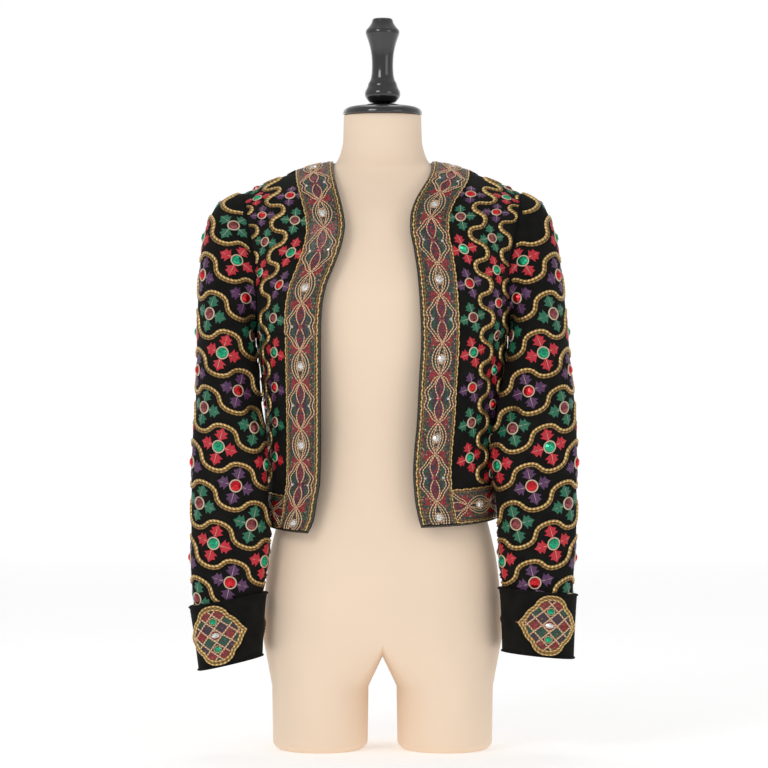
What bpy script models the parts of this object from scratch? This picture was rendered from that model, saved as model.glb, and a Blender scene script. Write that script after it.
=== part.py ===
"""Short open jacket of embroidered velvet on a limbless dress form.

Metres, +Z up. The front faces -Y and the form stands on its two flat stumps at z = 0.
Each cloth piece is a wall on a surface worked out from rings of the garment.
On that surface a place is given by its distance across and its distance along, as on the cut cloth.
"""

import math

import bmesh
import bpy
import numpy as np
from mathutils import Vector, geometry

# Driving sizes of the jacket
WALL = 0.0020
SEAM = 0.0003
SHOULDER_TOP = 0.808
UNDERARM = 0.565
ARMHOLE_TIP = 0.760
ARMHOLE_FRONT = 0.058
ARMHOLE_BACK = 0.064
ARMHOLE_Y = 0.004
NECK_HALF = 0.067
BACK_NECK_DIP = 0.020
CAP_END = 0.530
BODY_EASE = 0.0035
FORM_EASE = 0.013

# Driving sizes of the trimming
BAND_WIDTH = 0.052
BAND_EDGE = 0.004
BAND_HEM = 0.050
BAND_WALL = 0.0016
BAND_LIFT = 0.0013
NECK_BAND = 0.046
NECK_CLEAR = 0.002
NECK_LIFT = 0.0012
STONE_RADIUS = 0.0080
STONE_RISE = 0.0036
STONE_SIDES = 6
STONE_APART = 1.35
SHOULDER_CLEAR = 0.021
CRYSTAL_PITCH = 0.107
CUFF_HEIGHT = 0.088
CUFF_FLARE = 0.0035
MEDALLION_WIDTH = 0.082
MEDALLION_HEIGHT = 0.082
MEDALLION_WALL = 0.0018
MEDALLION_AT = {"right": 0.048, "left": 0.053}
MEDALLION_INNER_AT = -0.082
MEDALLION_LIFT = 0.0008
MEDALLION_INSIDE = 0.88
MEDALLION_COLUMNS = 2
INSET = 0.004

# How finely the surfaces are worked out, and which of their rows and columns the walls use
BODY_BELOW = 30
BODY_ABOVE = 40
BODY_ROWS = tuple(range(0, 30, 5)) + tuple(range(30, 67, 4)) + (68, 70)
FRONT_COLUMNS = tuple(range(0, 41, 4))
BACK_COLUMNS = tuple(range(0, 97, 4))
ROUND = 80
CAP_ROWS = 32
ARM_ROWS = 48
SLEEVE_ROWS = tuple(range(0, 81, 4))
ROUND_COLUMNS = tuple(range(0, 81, 4))
CUFF_ROWS = (0, 2, 4, 6, 8)
CUFF_STEPS = 8
LEVEL_STEP = 0.004
TUBE_STRETCH = 2
TURNED_SIDES = 20
FORM_SIDES = 32
STAND_AT = (-0.0016, 0.0043, 0.0)

# Rings of the jacket's body, from below the hem to the shoulder line.
# height is at the middle of the ring, fall is how far its side lies lower,
# turn is the angle in degrees that the arc has turned through at its side.
BODY_COLUMNS = ("height", "fall", "half_width", "front", "back", "turn", "square")
BODY_RINGS = (
    (0.280, 0.000, 0.160, 0.121, 0.113, 90, 2.30),
    (0.350, 0.000, 0.158, 0.119, 0.107, 90, 2.30),
    (0.430, 0.000, 0.160, 0.119, 0.102, 90, 2.30),
    (0.500, 0.000, 0.165, 0.122, 0.104, 90, 2.35),
    (0.565, 0.000, 0.171, 0.126, 0.109, 90, 2.40),
    (0.610, 0.005, 0.171, 0.127, 0.113, 82, 2.40),
    (0.660, 0.010, 0.171, 0.125, 0.115, 74, 2.40),
    (0.710, 0.018, 0.178, 0.117, 0.113, 70, 2.30),
    (0.750, 0.028, 0.184, 0.099, 0.103, 64, 2.20),
    (0.780, 0.038, 0.187, 0.073, 0.084, 56, 2.10),
    (0.797, 0.045, 0.188, 0.043, 0.058, 45, 2.00),
    (0.8035, 0.0468, 0.188, 0.0275, 0.037, 38, 2.00),
    (0.8068, 0.0476, 0.188, 0.0142, 0.019, 33, 2.00),
    (0.8080, 0.0480, 0.188, 0.000, 0.000, 30, 2.00),
)

# Open front edges and hems. across is the edge's distance from the middle.
EDGE_COLUMNS = ("height", "across")
EDGES = {
    "right": (
        (0.290, 0.1030),
        (0.298, 0.1010),
        (0.314, 0.0932),
        (0.342, 0.0885),
        (0.370, 0.0839),
        (0.427, 0.0829),
        (0.557, 0.0829),
        (0.600, 0.0811),
        (0.631, 0.0754),
        (0.659, 0.0642),
        (0.693, 0.0529),
        (0.714, 0.0501),
        (0.734, 0.0529),
        (0.764, 0.0600),
        (0.790, 0.0655),
        (0.808, 0.0670),
    ),
    "left": (
        (0.290, 0.0560),
        (0.307, 0.0520),
        (0.320, 0.0479),
        (0.346, 0.0432),
        (0.380, 0.0410),
        (0.417, 0.0432),
        (0.445, 0.0460),
        (0.501, 0.0487),
        (0.557, 0.0516),
        (0.609, 0.0497),
        (0.644, 0.0469),
        (0.682, 0.0414),
        (0.708, 0.0367),
        (0.725, 0.0372),
        (0.744, 0.0424),
        (0.764, 0.0525),
        (0.781, 0.0615),
        (0.796, 0.0660),
        (0.808, 0.0670),
    ),
}
HEM_AT_EDGE = {"right": 0.2985, "left": 0.3065}
HEM_AT_SIDE = {"right": 0.3090, "left": 0.3190}
HEM_AT_BACK = 0.3090

# Rings of the sleeves below the shoulder cap: outer and inner are distances from the middle.
SLEEVE_COLUMNS = ("height", "outer", "inner", "front", "back")
SLEEVES = {
    "right": (
        (0.530, 0.2535, 0.1690, 0.068, -0.044),
        (0.470, 0.2545, 0.1640, 0.086, -0.014),
        (0.417, 0.2577, 0.1550, 0.095, 0.007),
        (0.360, 0.2583, 0.1550, 0.098, 0.016),
        (0.300, 0.2585, 0.1515, 0.098, 0.022),
        (0.255, 0.2590, 0.1550, 0.097, 0.026),
        (0.210, 0.2560, 0.1625, 0.096, 0.028),
        (0.160, 0.2510, 0.1640, 0.094, 0.028),
        (0.100, 0.2450, 0.1650, 0.092, 0.028),
    ),
    "left": (
        (0.530, 0.2560, 0.1640, 0.072, -0.040),
        (0.470, 0.2610, 0.1530, 0.088, -0.010),
        (0.415, 0.2635, 0.1420, 0.097, 0.009),
        (0.360, 0.2630, 0.1510, 0.098, 0.018),
        (0.300, 0.2620, 0.1560, 0.098, 0.022),
        (0.255, 0.2590, 0.1580, 0.097, 0.026),
        (0.210, 0.2570, 0.1640, 0.096, 0.028),
        (0.160, 0.2565, 0.1640, 0.094, 0.028),
        (0.100, 0.2560, 0.1640, 0.092, 0.028),
    ),
}
CUFF_FOOT = {"right": 0.1215, "left": 0.1325}
CUFF_TILT = {"right": -0.0100, "left": -0.0050}
CAP_REACH = {"right": 0.058, "left": 0.047}
CAP_LEAN = {"right": 0.001, "left": 0.014}

# Largest folds. across and along are places on the piece, depth is inward.
FOLD_COLUMNS = ("across", "along", "width", "length", "lean", "depth")
FOLDS = {
    "sleeve": (
        (0.120, 0.330, 0.014, 0.050, 0.90, 0.0050),
        (0.105, 0.290, 0.012, 0.045, 0.70, 0.0035),
        (-0.110, 0.345, 0.013, 0.055, -0.80, 0.0045),
        (-0.060, 0.240, 0.015, 0.060, -0.40, 0.0030),
        (0.050, 0.440, 0.016, 0.050, 0.50, 0.0025),
    ),
    "front": (
        (0.120, 0.180, 0.016, 0.090, 0.10, 0.0035),
        (0.090, 0.330, 0.018, 0.060, -0.30, 0.0030),
    ),
    "back": (
        (0.090, 0.170, 0.020, 0.110, 0.12, 0.0045),
        (-0.085, 0.190, 0.018, 0.100, -0.10, 0.0040),
        (0.012, 0.130, 0.022, 0.080, 0.00, 0.0030),
        (-0.130, 0.330, 0.018, 0.060, -0.50, 0.0035),
        (0.135, 0.320, 0.018, 0.065, 0.50, 0.0035),
    ),
}

# Trellis of flowers: two steps across and along the cloth, and one flower's place.
TRELLIS_COLUMNS = ("down_across", "down_along", "side_across", "side_along", "across", "height")
TRELLIS = {
    "sleeve": (0.0210, 0.0530, 0.0530, -0.0240, 0.072, 0.541),
    "front": (0.0020, 0.0480, 0.0470, -0.0230, 0.076, 0.541),
    "back": (0.0180, 0.0530, 0.0530, -0.0240, 0.000, 0.541),
}

# Rings of the form's torso: half width, depth to the front and back, squareness.
FORM_COLUMNS = ("height", "half_width", "front", "back", "square")
FORM_RINGS = (
    (0.128, 0.1620, 0.098, 0.112, 2.35),
    (0.150, 0.1632, 0.101, 0.116, 2.30),
    (0.190, 0.1625, 0.103, 0.117, 2.25),
    (0.250, 0.1570, 0.102, 0.108, 2.20),
    (0.310, 0.1440, 0.098, 0.093, 2.15),
    (0.370, 0.1260, 0.092, 0.078, 2.10),
    (0.430, 0.1180, 0.089, 0.071, 2.10),
    (0.490, 0.1250, 0.095, 0.076, 2.15),
    (0.560, 0.1390, 0.108, 0.088, 2.20),
    (0.620, 0.1480, 0.114, 0.097, 2.25),
    (0.680, 0.1560, 0.104, 0.101, 2.25),
    (0.725, 0.1610, 0.088, 0.095, 2.20),
    (0.752, 0.1560, 0.070, 0.080, 2.10),
    (0.769, 0.1430, 0.059, 0.068, 2.05),
    (0.781, 0.1220, 0.050, 0.058, 2.00),
    (0.7895, 0.0980, 0.045, 0.051, 2.00),
    (0.7945, 0.0780, 0.044, 0.048, 2.00),
    (0.800, 0.0650, 0.046, 0.048, 2.00),
    (0.815, 0.0575, 0.049, 0.050, 2.00),
    (0.832, 0.0540, 0.048, 0.049, 2.00),
    (0.866, 0.0530, 0.048, 0.048, 2.00),
)
STUMP_INNER = 0.0205
STUMP_OUTER = 0.1500
STUMP_FOOT_FRONT = 0.074
STUMP_FOOT_BACK = 0.086
STUMP_ROUND = 0.010
STUMP_EDGE = 0.0075
STUMP_TOP = 0.150
STUMP_LEVELS = (0.085, 0.045, STUMP_ROUND, 0.0)
STUMP_SWELL_SIDE = 0.035
STUMP_SWELL_FRONT = 0.20
ARCH_RISE = 0.024
ARCH_SPAN = 7
FORM_HEIGHTS = (
    0.150, 0.180, 0.215, 0.250, 0.290, 0.330, 0.370, 0.410, 0.450, 0.490, 0.530, 0.570, 0.610, 0.650,
    0.685, 0.712, 0.735, 0.752, 0.763, 0.772, 0.781, 0.7895, 0.7945, 0.800, 0.808, 0.820, 0.835, 0.866,
)

# Turned profiles: radius at each height, from the top down.
FINIAL_PROFILE = (
    (0.0100, 1.0000),
    (0.0140, 0.9985),
    (0.0150, 0.9930),
    (0.0195, 0.9870),
    (0.0245, 0.9815),
    (0.0205, 0.9710),
    (0.0172, 0.9600),
    (0.0150, 0.9480),
    (0.0144, 0.9300),
    (0.0160, 0.9160),
    (0.0198, 0.9105),
    (0.0208, 0.9050),
    (0.0245, 0.8990),
    (0.0245, 0.8930),
    (0.0215, 0.8880),
    (0.0165, 0.8828),
)
NECK_CAP_PROFILE = (
    (0.0180, 0.8824),
    (0.0465, 0.8786),
    (0.0530, 0.8745),
    (0.0545, 0.8700),
    (0.0545, 0.8680),
    (0.0535, 0.8666),
)

COLOURS = {
    "velvet": ((0.012, 0.014, 0.012), 0.85, 0.0),
    "band": ((0.30, 0.20, 0.14), 0.45, 0.4),
    "medallion": ((0.34, 0.23, 0.14), 0.45, 0.4),
    "calico": ((0.80, 0.72, 0.60), 0.75, 0.0),
    "lacquer": ((0.008, 0.008, 0.009), 0.18, 0.0),
}


def read(rows, columns, name, at):
    """One column of a table at the given values of its first column, smoothly in between."""
    keys = np.array([row[0] for row in rows], float)
    values = np.array([row[columns.index(name)] for row in rows], float)
    if keys[0] > keys[-1]:
        keys, values = keys[::-1], values[::-1]
    step = np.diff(keys)
    rise = np.diff(values) / step
    slope = np.zeros_like(values)
    same = rise[:-1] * rise[1:] > 0
    weight = 2 * rise[:-1] * rise[1:]
    slope[1:-1][same] = weight[same] / (rise[:-1] + rise[1:])[same]
    slope[0], slope[-1] = rise[0], rise[-1]
    at = np.clip(np.asarray(at, float), keys[0], keys[-1])
    i = np.clip(np.searchsorted(keys, at, side="right") - 1, 0, len(step) - 1)
    t = (at - keys[i]) / step[i]
    h00 = (1 + 2 * t) * (1 - t) ** 2
    h10 = t * (1 - t) ** 2
    h01 = t * t * (3 - 2 * t)
    h11 = t * t * (t - 1)
    return (h00 * values[i] + h10 * step[i] * slope[i]
            + h01 * values[i + 1] + h11 * step[i] * slope[i + 1])


def armhole_reach(side_height):
    """Share of the armhole's half depth at a height of its edge, from 0 at its ends to 1."""
    middle = (ARMHOLE_TIP + UNDERARM) / 2
    half = (ARMHOLE_TIP - UNDERARM) / 2
    return np.sqrt(np.clip(1 - ((side_height - middle) / half) ** 2, 0, 1))


def body_point(height, share, face):
    """Point of the body's surface on the +X side. share is the sine of the arc's turn, 0 to 1."""
    half = read(BODY_RINGS, BODY_COLUMNS, "half_width", height)
    fall = read(BODY_RINGS, BODY_COLUMNS, "fall", height)
    depth = read(BODY_RINGS, BODY_COLUMNS, face, height)
    turn = np.radians(read(BODY_RINGS, BODY_COLUMNS, "turn", height))
    square = read(BODY_RINGS, BODY_COLUMNS, "square", height)
    side = height - fall
    armhole = ARMHOLE_FRONT if face == "front" else ARMHOLE_BACK
    towards = -1 if face == "front" else 1
    open_depth = armhole * armhole_reach(side) * (side > UNDERARM)
    side_y = ARMHOLE_Y + towards * (open_depth + SEAM / 2)
    far_y = towards * depth + (height >= SHOULDER_TOP - 1e-6) * side_y
    angle = share * turn
    power = 2 / square
    across = np.sin(angle) ** power / np.sin(turn) ** power
    level = np.clip(np.cos(angle), 0, 1) ** power
    bulge = (1 - level) / (1 - np.clip(np.cos(turn), 0, 1) ** power)
    x = half * across
    y = far_y + (side_y - far_y) * bulge
    z = height - fall * across ** 2
    return np.stack([x, y, z], -1)


def share_at(height, across):
    """Share of the turn at which the arc lies the given distance from the middle."""
    half = read(BODY_RINGS, BODY_COLUMNS, "half_width", height)
    turn = np.radians(read(BODY_RINGS, BODY_COLUMNS, "turn", height))
    square = read(BODY_RINGS, BODY_COLUMNS, "square", height)
    sine = np.clip(across / half, 0, 1) ** (square / 2) * np.sin(turn)
    return np.arcsin(np.clip(sine, 0, 1)) / turn


def ring_heights(low):
    """Heights of the body's rows: even up to the underarm, then even round the armhole."""
    below = np.linspace(0, 1, BODY_BELOW, endpoint=False)
    turn = np.linspace(0, math.pi, BODY_ABOVE + 1)
    middle = (ARMHOLE_TIP + UNDERARM) / 2
    half = (ARMHOLE_TIP - UNDERARM) / 2
    sides = middle - half * np.cos(turn)
    fine = np.linspace(UNDERARM, SHOULDER_TOP, 400)
    fine_sides = fine - read(BODY_RINGS, BODY_COLUMNS, "fall", fine)
    above = np.interp(sides, fine_sides, fine)
    lower = low + (UNDERARM - low) * below
    return np.concatenate([lower, above])


class Cloth:
    """A surface given by a grid of points, measured across and along like the cut piece."""

    def __init__(self, points, middle, outward, folds=(), closed=False):
        self.points = points
        rows, columns = points.shape[:2]
        steps = np.linalg.norm(np.diff(points, axis=1), axis=2)
        across = np.concatenate([np.zeros((rows, 1)), np.cumsum(steps, 1)], 1)
        self.across = across - across[:, middle:middle + 1]
        lengths = np.linalg.norm(np.diff(points[:, middle], axis=0), axis=1)
        self.along = np.concatenate([[0], np.cumsum(lengths)])
        over = np.gradient(points, axis=1)
        up = np.gradient(points, axis=0)
        normal = np.cross(over, up)
        normal /= np.maximum(np.linalg.norm(normal, axis=2, keepdims=True), 1e-12)
        self.normal = normal * outward
        if closed:
            seam = self.normal[:, 0] + self.normal[:, -1]
            seam /= np.linalg.norm(seam, axis=1, keepdims=True)
            self.normal[:, 0] = self.normal[:, -1] = seam
        self.fold_in(folds)
        if closed:
            self.points[:, -1] = self.points[:, 0]

    def fold_in(self, folds):
        """Presses the piece's folds into its points."""
        along = np.broadcast_to(self.along[:, None], self.across.shape)
        depth = np.zeros_like(self.across)
        for row in folds:
            fold = dict(zip(FOLD_COLUMNS, row))
            a = self.across - fold["across"]
            b = along - fold["along"]
            turn = math.atan(fold["lean"])
            off = a * math.cos(turn) - b * math.sin(turn)
            run = a * math.sin(turn) + b * math.cos(turn)
            far = (off / fold["width"]) ** 2 + (run / fold["length"]) ** 2
            depth += fold["depth"] * np.exp(-far)
        self.points = self.points - self.normal * depth[..., None]

    def row_at(self, along):
        return float(np.interp(along, self.along, np.arange(len(self.along))))

    def place(self, across, along, lift=0.0):
        """The point at a place on the cloth, moved out by lift."""
        row = self.row_at(along)
        low = min(int(row), len(self.along) - 2)
        part = row - low
        found = []
        for i in (low, low + 1):
            column = float(np.interp(across, self.across[i], np.arange(self.across.shape[1])))
            j = min(int(column), self.across.shape[1] - 2)
            t = column - j
            grid = self.points[i] + self.normal[i] * lift
            found.append(grid[j] * (1 - t) + grid[j + 1] * t)
        return found[0] * (1 - part) + found[1] * part

    def width_at(self, along):
        """Lowest and highest distance across at a distance along."""
        row = self.row_at(along)
        rows = np.arange(len(self.along))
        return (float(np.interp(row, rows, self.across[:, 0])),
                float(np.interp(row, rows, self.across[:, -1])))

    def column_at(self, column, along):
        """Distance across of one of the grid's columns at a distance along."""
        rows = np.arange(len(self.along))
        return float(np.interp(self.row_at(along), rows, self.across[:, column]))

    def along_at_height(self, height):
        """Distance along the piece's middle line at which it has a height."""
        middle = int(np.argmin(np.abs(self.across[0])))
        heights = self.points[:, middle, 2]
        if heights[0] > heights[-1]:
            return float(np.interp(-height, -heights, self.along))
        return float(np.interp(height, heights, self.along))


def square_to_seam(normals):
    """Makes a wall's end at a shoulder or side seam stand square to it."""
    normals *= np.array((1.0, 0.0, 1.0))
    normals /= np.linalg.norm(normals, axis=-1, keepdims=True)


def front_cloth(side):
    """Surface of one front, from its open edge to the side seam and armhole."""
    mirror = -1 if side == "right" else 1
    columns = np.linspace(0, 1, FRONT_COLUMNS[-1] + 1)
    hem = HEM_AT_EDGE[side] + (HEM_AT_SIDE[side] - HEM_AT_EDGE[side]) * columns ** 1.5
    heights = np.stack([ring_heights(low) for low in hem], 1)
    edge = read(EDGES[side], EDGE_COLUMNS, "across", heights)
    start = share_at(heights, edge)
    share = start + (1 - start) * columns[None, :]
    points = body_point(heights, share, "front")
    points[..., 0] *= mirror
    cloth = Cloth(points, 0, 1 if mirror > 0 else -1, FOLDS["front"])
    square_to_seam(cloth.normal[-1])
    square_to_seam(cloth.normal[:BODY_BELOW + 1, -1])
    return cloth


def back_cloth():
    """Surface of the back, from one side seam over the middle to the other."""
    share = np.linspace(-1, 1, BACK_COLUMNS[-1] + 1)
    out = np.abs(share)
    side = np.where(share < 0, HEM_AT_SIDE["right"], HEM_AT_SIDE["left"])
    hem = HEM_AT_BACK + (side - HEM_AT_BACK) * out ** 2
    heights = np.stack([ring_heights(low) for low in hem], 1)
    neck = float(share_at(SHOULDER_TOP, NECK_HALF))
    dip = BACK_NECK_DIP * np.clip(1 - (out / neck) ** 2, 0, 1)
    limit = SHOULDER_TOP - dip
    heights = hem + (heights - hem) * (limit - hem) / (SHOULDER_TOP - hem)
    points = body_point(heights, np.broadcast_to(out, heights.shape), "back")
    points[..., 0] *= np.where(share < 0, -1, 1)
    cloth = Cloth(points, BACK_COLUMNS[-1] // 2, -1, FOLDS["back"])
    first = int(np.argmax(out <= neck))
    square_to_seam(cloth.normal[-1, :first])
    square_to_seam(cloth.normal[-1, -first:])
    for column in (0, -1):
        square_to_seam(cloth.normal[:BODY_BELOW + 1, column])
    return cloth


def ring_clear(points, height, half, front, back, square, gap):
    """Moves points that lie inside a ring, widened by gap, straight out to it."""
    depth = np.where(points[..., 1] < 0, front, back) + gap
    reach = (np.abs(points[..., 0]) / (half + gap)) ** square
    reach = reach + (np.abs(points[..., 1]) / depth) ** square
    inside = (reach < 1) & height
    push = np.where(inside, np.maximum(reach, 1e-6) ** (-1 / square), 1.0)
    moved = points.copy()
    moved[..., 0] *= push
    moved[..., 1] *= push
    return moved


def rest_beside(points):
    """Sets a sleeve's points just clear of the jacket's body and of the form."""
    z = points[..., 2]
    for rows, columns, zone, gap in (
        (BODY_RINGS, BODY_COLUMNS, (z < UNDERARM - 0.004) & (z > 0.285), BODY_EASE),
        (FORM_RINGS, FORM_COLUMNS, z < 0.32, FORM_EASE),
    ):
        half = read(rows, columns, "half_width", z)
        front = read(rows, columns, "front", z)
        back = read(rows, columns, "back", z)
        square = read(rows, columns, "square", z)
        points = ring_clear(points, zone, half, front, back, square, gap)
    return points


def unroll(cloth):
    """Lays a sleeve flat: the distance down each column, and the width along each level."""
    falls = np.linalg.norm(np.diff(cloth.points, axis=0), axis=2)
    run = np.concatenate([np.zeros((1, falls.shape[1])), np.cumsum(falls, 0)])
    cloth.down = run - run[CAP_ROWS] + cloth.along[CAP_ROWS]
    cloth.levels = np.arange(0, cloth.down.max(), LEVEL_STEP)
    columns = np.arange(ROUND + 1)
    every = np.arange(len(cloth.down))
    cloth.wide = np.empty((len(cloth.levels), ROUND + 1))
    for i, level in enumerate(cloth.levels):
        rows = np.array([np.interp(level, cloth.down[:, j], every) for j in columns])
        line = value_at(cloth.points, rows, columns)
        steps = np.linalg.norm(np.diff(line, axis=0), axis=1)
        cloth.wide[i] = np.concatenate([[0], np.cumsum(steps)])
    cloth.wide -= cloth.wide[:, ROUND // 2:ROUND // 2 + 1].copy()


def look_up(table, at, wanted):
    """Where the wanted values lie in the rows of a table, between its rows as well."""
    low = np.clip(at.astype(int), 0, len(table) - 2)
    part = at - low
    found = np.empty(len(at))
    every = np.arange(table.shape[1])
    for row in np.unique(low):
        chosen = low == row
        first = np.interp(wanted[chosen], table[row], every)
        second = np.interp(wanted[chosen], table[row + 1], every)
        found[chosen] = first * (1 - part[chosen]) + second * part[chosen]
    return found


def find_spots(cloth, across, down):
    """Rows and columns of a sleeve's grid at places on its flat cut."""
    level = np.interp(down, cloth.levels, np.arange(len(cloth.levels)))
    columns = look_up(cloth.wide, level, across)
    return look_up(cloth.down.T, columns, down), columns


def from_armhole(cloth, columns, down):
    """How far below the armhole's seam places on a sleeve's flat cut lie."""
    return down - np.interp(columns, np.arange(ROUND + 1), cloth.down[0])


def value_at(table, rows, columns):
    """Values of a grid at places between its rows and columns."""
    i = np.clip(rows.astype(int), 0, table.shape[0] - 2)
    j = np.clip(columns.astype(int), 0, table.shape[1] - 2)
    t, u = rows - i, columns - j
    if table.ndim == 3:
        t, u = t[:, None], u[:, None]
    upper = table[i, j] * (1 - u) + table[i, j + 1] * u
    lower = table[i + 1, j] * (1 - u) + table[i + 1, j + 1] * u
    return upper * (1 - t) + lower * t


def sleeve_ring(side, height, angle):
    """Point of a sleeve's ring; angle 0 is the outer side and a quarter turn the front."""
    rows = SLEEVES[side]
    outer = read(rows, SLEEVE_COLUMNS, "outer", height)
    inner = read(rows, SLEEVE_COLUMNS, "inner", height)
    front = read(rows, SLEEVE_COLUMNS, "front", height)
    back = read(rows, SLEEVE_COLUMNS, "back", height)
    x = (outer + inner) / 2 + (outer - inner) / 2 * np.cos(angle)
    y = -(front + back) / 2 - (front - back) / 2 * np.sin(angle)
    return np.stack([x, y, np.broadcast_to(height, x.shape)], -1)


def armhole_point(angle):
    """Point of the armhole's edge; angle 0 is the shoulder tip and a quarter turn the front."""
    middle = (ARMHOLE_TIP + UNDERARM) / 2
    half = (ARMHOLE_TIP - UNDERARM) / 2
    side = middle + half * np.cos(angle)
    fine = np.linspace(UNDERARM, SHOULDER_TOP, 400)
    fine_sides = fine - read(BODY_RINGS, BODY_COLUMNS, "fall", fine)
    height = np.interp(side, fine_sides, fine)
    x = read(BODY_RINGS, BODY_COLUMNS, "half_width", height)
    reach = np.where(np.sin(angle) > 0, ARMHOLE_FRONT, ARMHOLE_BACK)
    y = ARMHOLE_Y - reach * np.sin(angle)
    return np.stack([x, y, side], -1)


def sleeve_cloth(side):
    """Surface of a sleeve from the armhole to its foot, opened at the seam under the arm."""
    angle = np.linspace(-math.pi, math.pi, ROUND + 1)
    start = armhole_point(angle)
    start[:, 0] += SEAM * 1.5
    end = sleeve_ring(side, np.full(angle.shape, CAP_END), angle)
    out = (1 + np.cos(angle)) / 2
    reach = CAP_REACH[side] * (0.12 + 0.88 * out)
    leave = np.stack([reach, 0 * out, -0.003 - 0.004 * (1 - out)], -1)
    rise = (start[:, 2] - CAP_END) * 0.74
    arrive = np.stack([-CAP_LEAN[side] * out, 0 * out, rise], -1)
    t = np.linspace(0, 1, CAP_ROWS + 1)[:, None, None]
    cap = ((1 - t) ** 3 * start + 3 * t * (1 - t) ** 2 * (start + leave)
           + 3 * t * t * (1 - t) * (end + arrive) + t ** 3 * end)
    foot = CUFF_FOOT[side] + CUFF_TILT[side] * np.cos(angle)
    part = np.linspace(0, 1, ARM_ROWS + 1)[1:, None]
    height = CAP_END + (foot[None, :] - CAP_END) * part
    rings = sleeve_ring(side, height, np.broadcast_to(angle, height.shape))
    points = np.concatenate([cap, rings], 0)
    points = np.concatenate([points[:1], rest_beside(points[1:])], 0)
    mirror = -1 if side == "right" else 1
    points[..., 0] *= mirror
    cloth = Cloth(points, ROUND // 2, mirror, FOLDS["sleeve"], closed=True)
    unroll(cloth)
    return cloth


def cuff_cloth(side):
    """Surface of a turned-back cuff: round the sleeve's foot, flaring towards its top edge."""
    sleeve = sleeve_cloth(side)
    height = sleeve.points[..., 2]
    foot = height[-1]
    rows = np.linspace(0, 1, CUFF_STEPS + 1)
    lift = SEAM * 1.5 + CUFF_FLARE * rows ** 1.4
    points = np.empty((len(rows), foot.size, 3))
    for j in range(foot.size):
        wanted = foot[j] + CUFF_HEIGHT * rows
        order = np.argsort(height[CAP_ROWS:, j])
        column = sleeve.points[CAP_ROWS:, j][order]
        normal = sleeve.normal[CAP_ROWS:, j][order]
        for k in range(3):
            base = np.interp(wanted, column[:, 2], column[:, k])
            out = np.interp(wanted, column[:, 2], normal[:, k])
            points[:, j, k] = base + out * lift
    outward = 1 if side == "right" else -1
    return Cloth(points, ROUND // 2, outward, closed=True)


def trellis_stones(cloth, kind, keep_in, start_low=True):
    """Places of the flowers' stones on a piece, for which keep_in says yes."""
    named = dict(zip(TRELLIS_COLUMNS, TRELLIS[kind]))
    down = np.array([named["down_across"], named["down_along"]])
    side = np.array([named["side_across"], named["side_along"]])
    first = np.array([named["across"], cloth.along_at_height(named["height"])])
    if start_low:
        down, side = down * (1, -1), side * (1, -1)
    places = []
    for i in range(-16, 17):
        for j in range(-16, 17):
            across, along = first + down * i + side * j
            if 0 < along < cloth.along[-1] and keep_in(across, along):
                places.append((across, along))
    return places


def dome_points(across, along, radius, rise):
    """A raised stone: a ring on the cloth and one point above its middle."""
    ring = []
    for k in range(STONE_SIDES):
        turn = 2 * math.pi * k / STONE_SIDES
        ring.append((across + radius * math.cos(turn), along + radius * math.sin(turn), 0.0))
    return ring + [(across, along, rise)]


def raise_stones(plain, stones):
    """The outer face's places: the plain ones that are clear of the stones, and the stones."""
    outer = []
    for a, b, rise in plain:
        if all(math.hypot(a - s[0], b - s[1]) > STONE_APART * STONE_RADIUS for s in stones):
            outer.append((a, b, rise))
    for across, along in stones:
        outer += dome_points(across, along, STONE_RADIUS, STONE_RISE)
    return outer


def new_object(name, vertices, faces, colour, collection):
    """An object of one closed body with its faces pointing out."""
    mesh = bpy.data.meshes.new(name)
    mesh.from_pydata([tuple(v) for v in vertices], [], faces)
    shell = bmesh.new()
    shell.from_mesh(mesh)
    bmesh.ops.remove_doubles(shell, verts=shell.verts, dist=0.00001)
    bmesh.ops.recalc_face_normals(shell, faces=shell.faces)
    if shell.calc_volume(signed=True) < 0:
        bmesh.ops.reverse_faces(shell, faces=shell.faces)
    shell.to_mesh(mesh)
    shell.free()
    mesh.shade_smooth()
    mesh.set_sharp_from_angle(angle=math.radians(40))
    item = bpy.data.objects.new(name, mesh)
    collection.objects.link(item)
    mesh.materials.append(material(colour))
    return item


def material(colour):
    found = bpy.data.materials.get(colour)
    if found:
        return found
    rgb, roughness, metallic = COLOURS[colour]
    made = bpy.data.materials.new(colour)
    made.use_nodes = True
    shader = made.node_tree.nodes["Principled BSDF"]
    shader.inputs["Base Color"].default_value = (*rgb, 1)
    shader.inputs["Roughness"].default_value = roughness
    shader.inputs["Metallic"].default_value = metallic
    return made


def wall(name, cloth, outline, inside, stones, sizes, colour, collection, stretch=1.0):
    """A wall of cloth: plain inside, outer points raised under the stones.

    outline is a closed run of places on the cloth and inside the places within it.
    sizes are the lifts of the outer and the inner face.
    """
    outer_lift, inner_lift = sizes
    plain = [(a, b, 0.0) for a, b in inside]
    outer = raise_stones(plain, stones)
    border = [(a, b, 0.0) for a, b in outline]
    count = len(border)
    loop = [(i, (i + 1) % count) for i in range(count)]
    vertices, faces = [], []
    for points, lift in ((border + outer, outer_lift), (border + plain, inner_lift)):
        flat = [Vector((a * stretch, b)) for a, b, rise in points]
        cut = geometry.delaunay_2d_cdt(flat, loop, [], 1, 1e-7)
        base = len(vertices)
        source = [ids[0] for ids in cut[3]]
        vertices += [cloth.place(points[i][0], points[i][1], lift + points[i][2]) for i in source]
        flip = lift == inner_lift
        for face in cut[2]:
            corners = [base + k for k in face]
            faces.append(corners[::-1] if flip else corners)
        first = {i: base + k for k, i in enumerate(source) if i < count}
        if flip:
            inner_rim = first
        else:
            outer_rim = first
    for i, j in loop:
        faces.append([outer_rim[j], outer_rim[i], inner_rim[i], inner_rim[j]])
    return new_object(name, vertices, faces, colour, collection)


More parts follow.
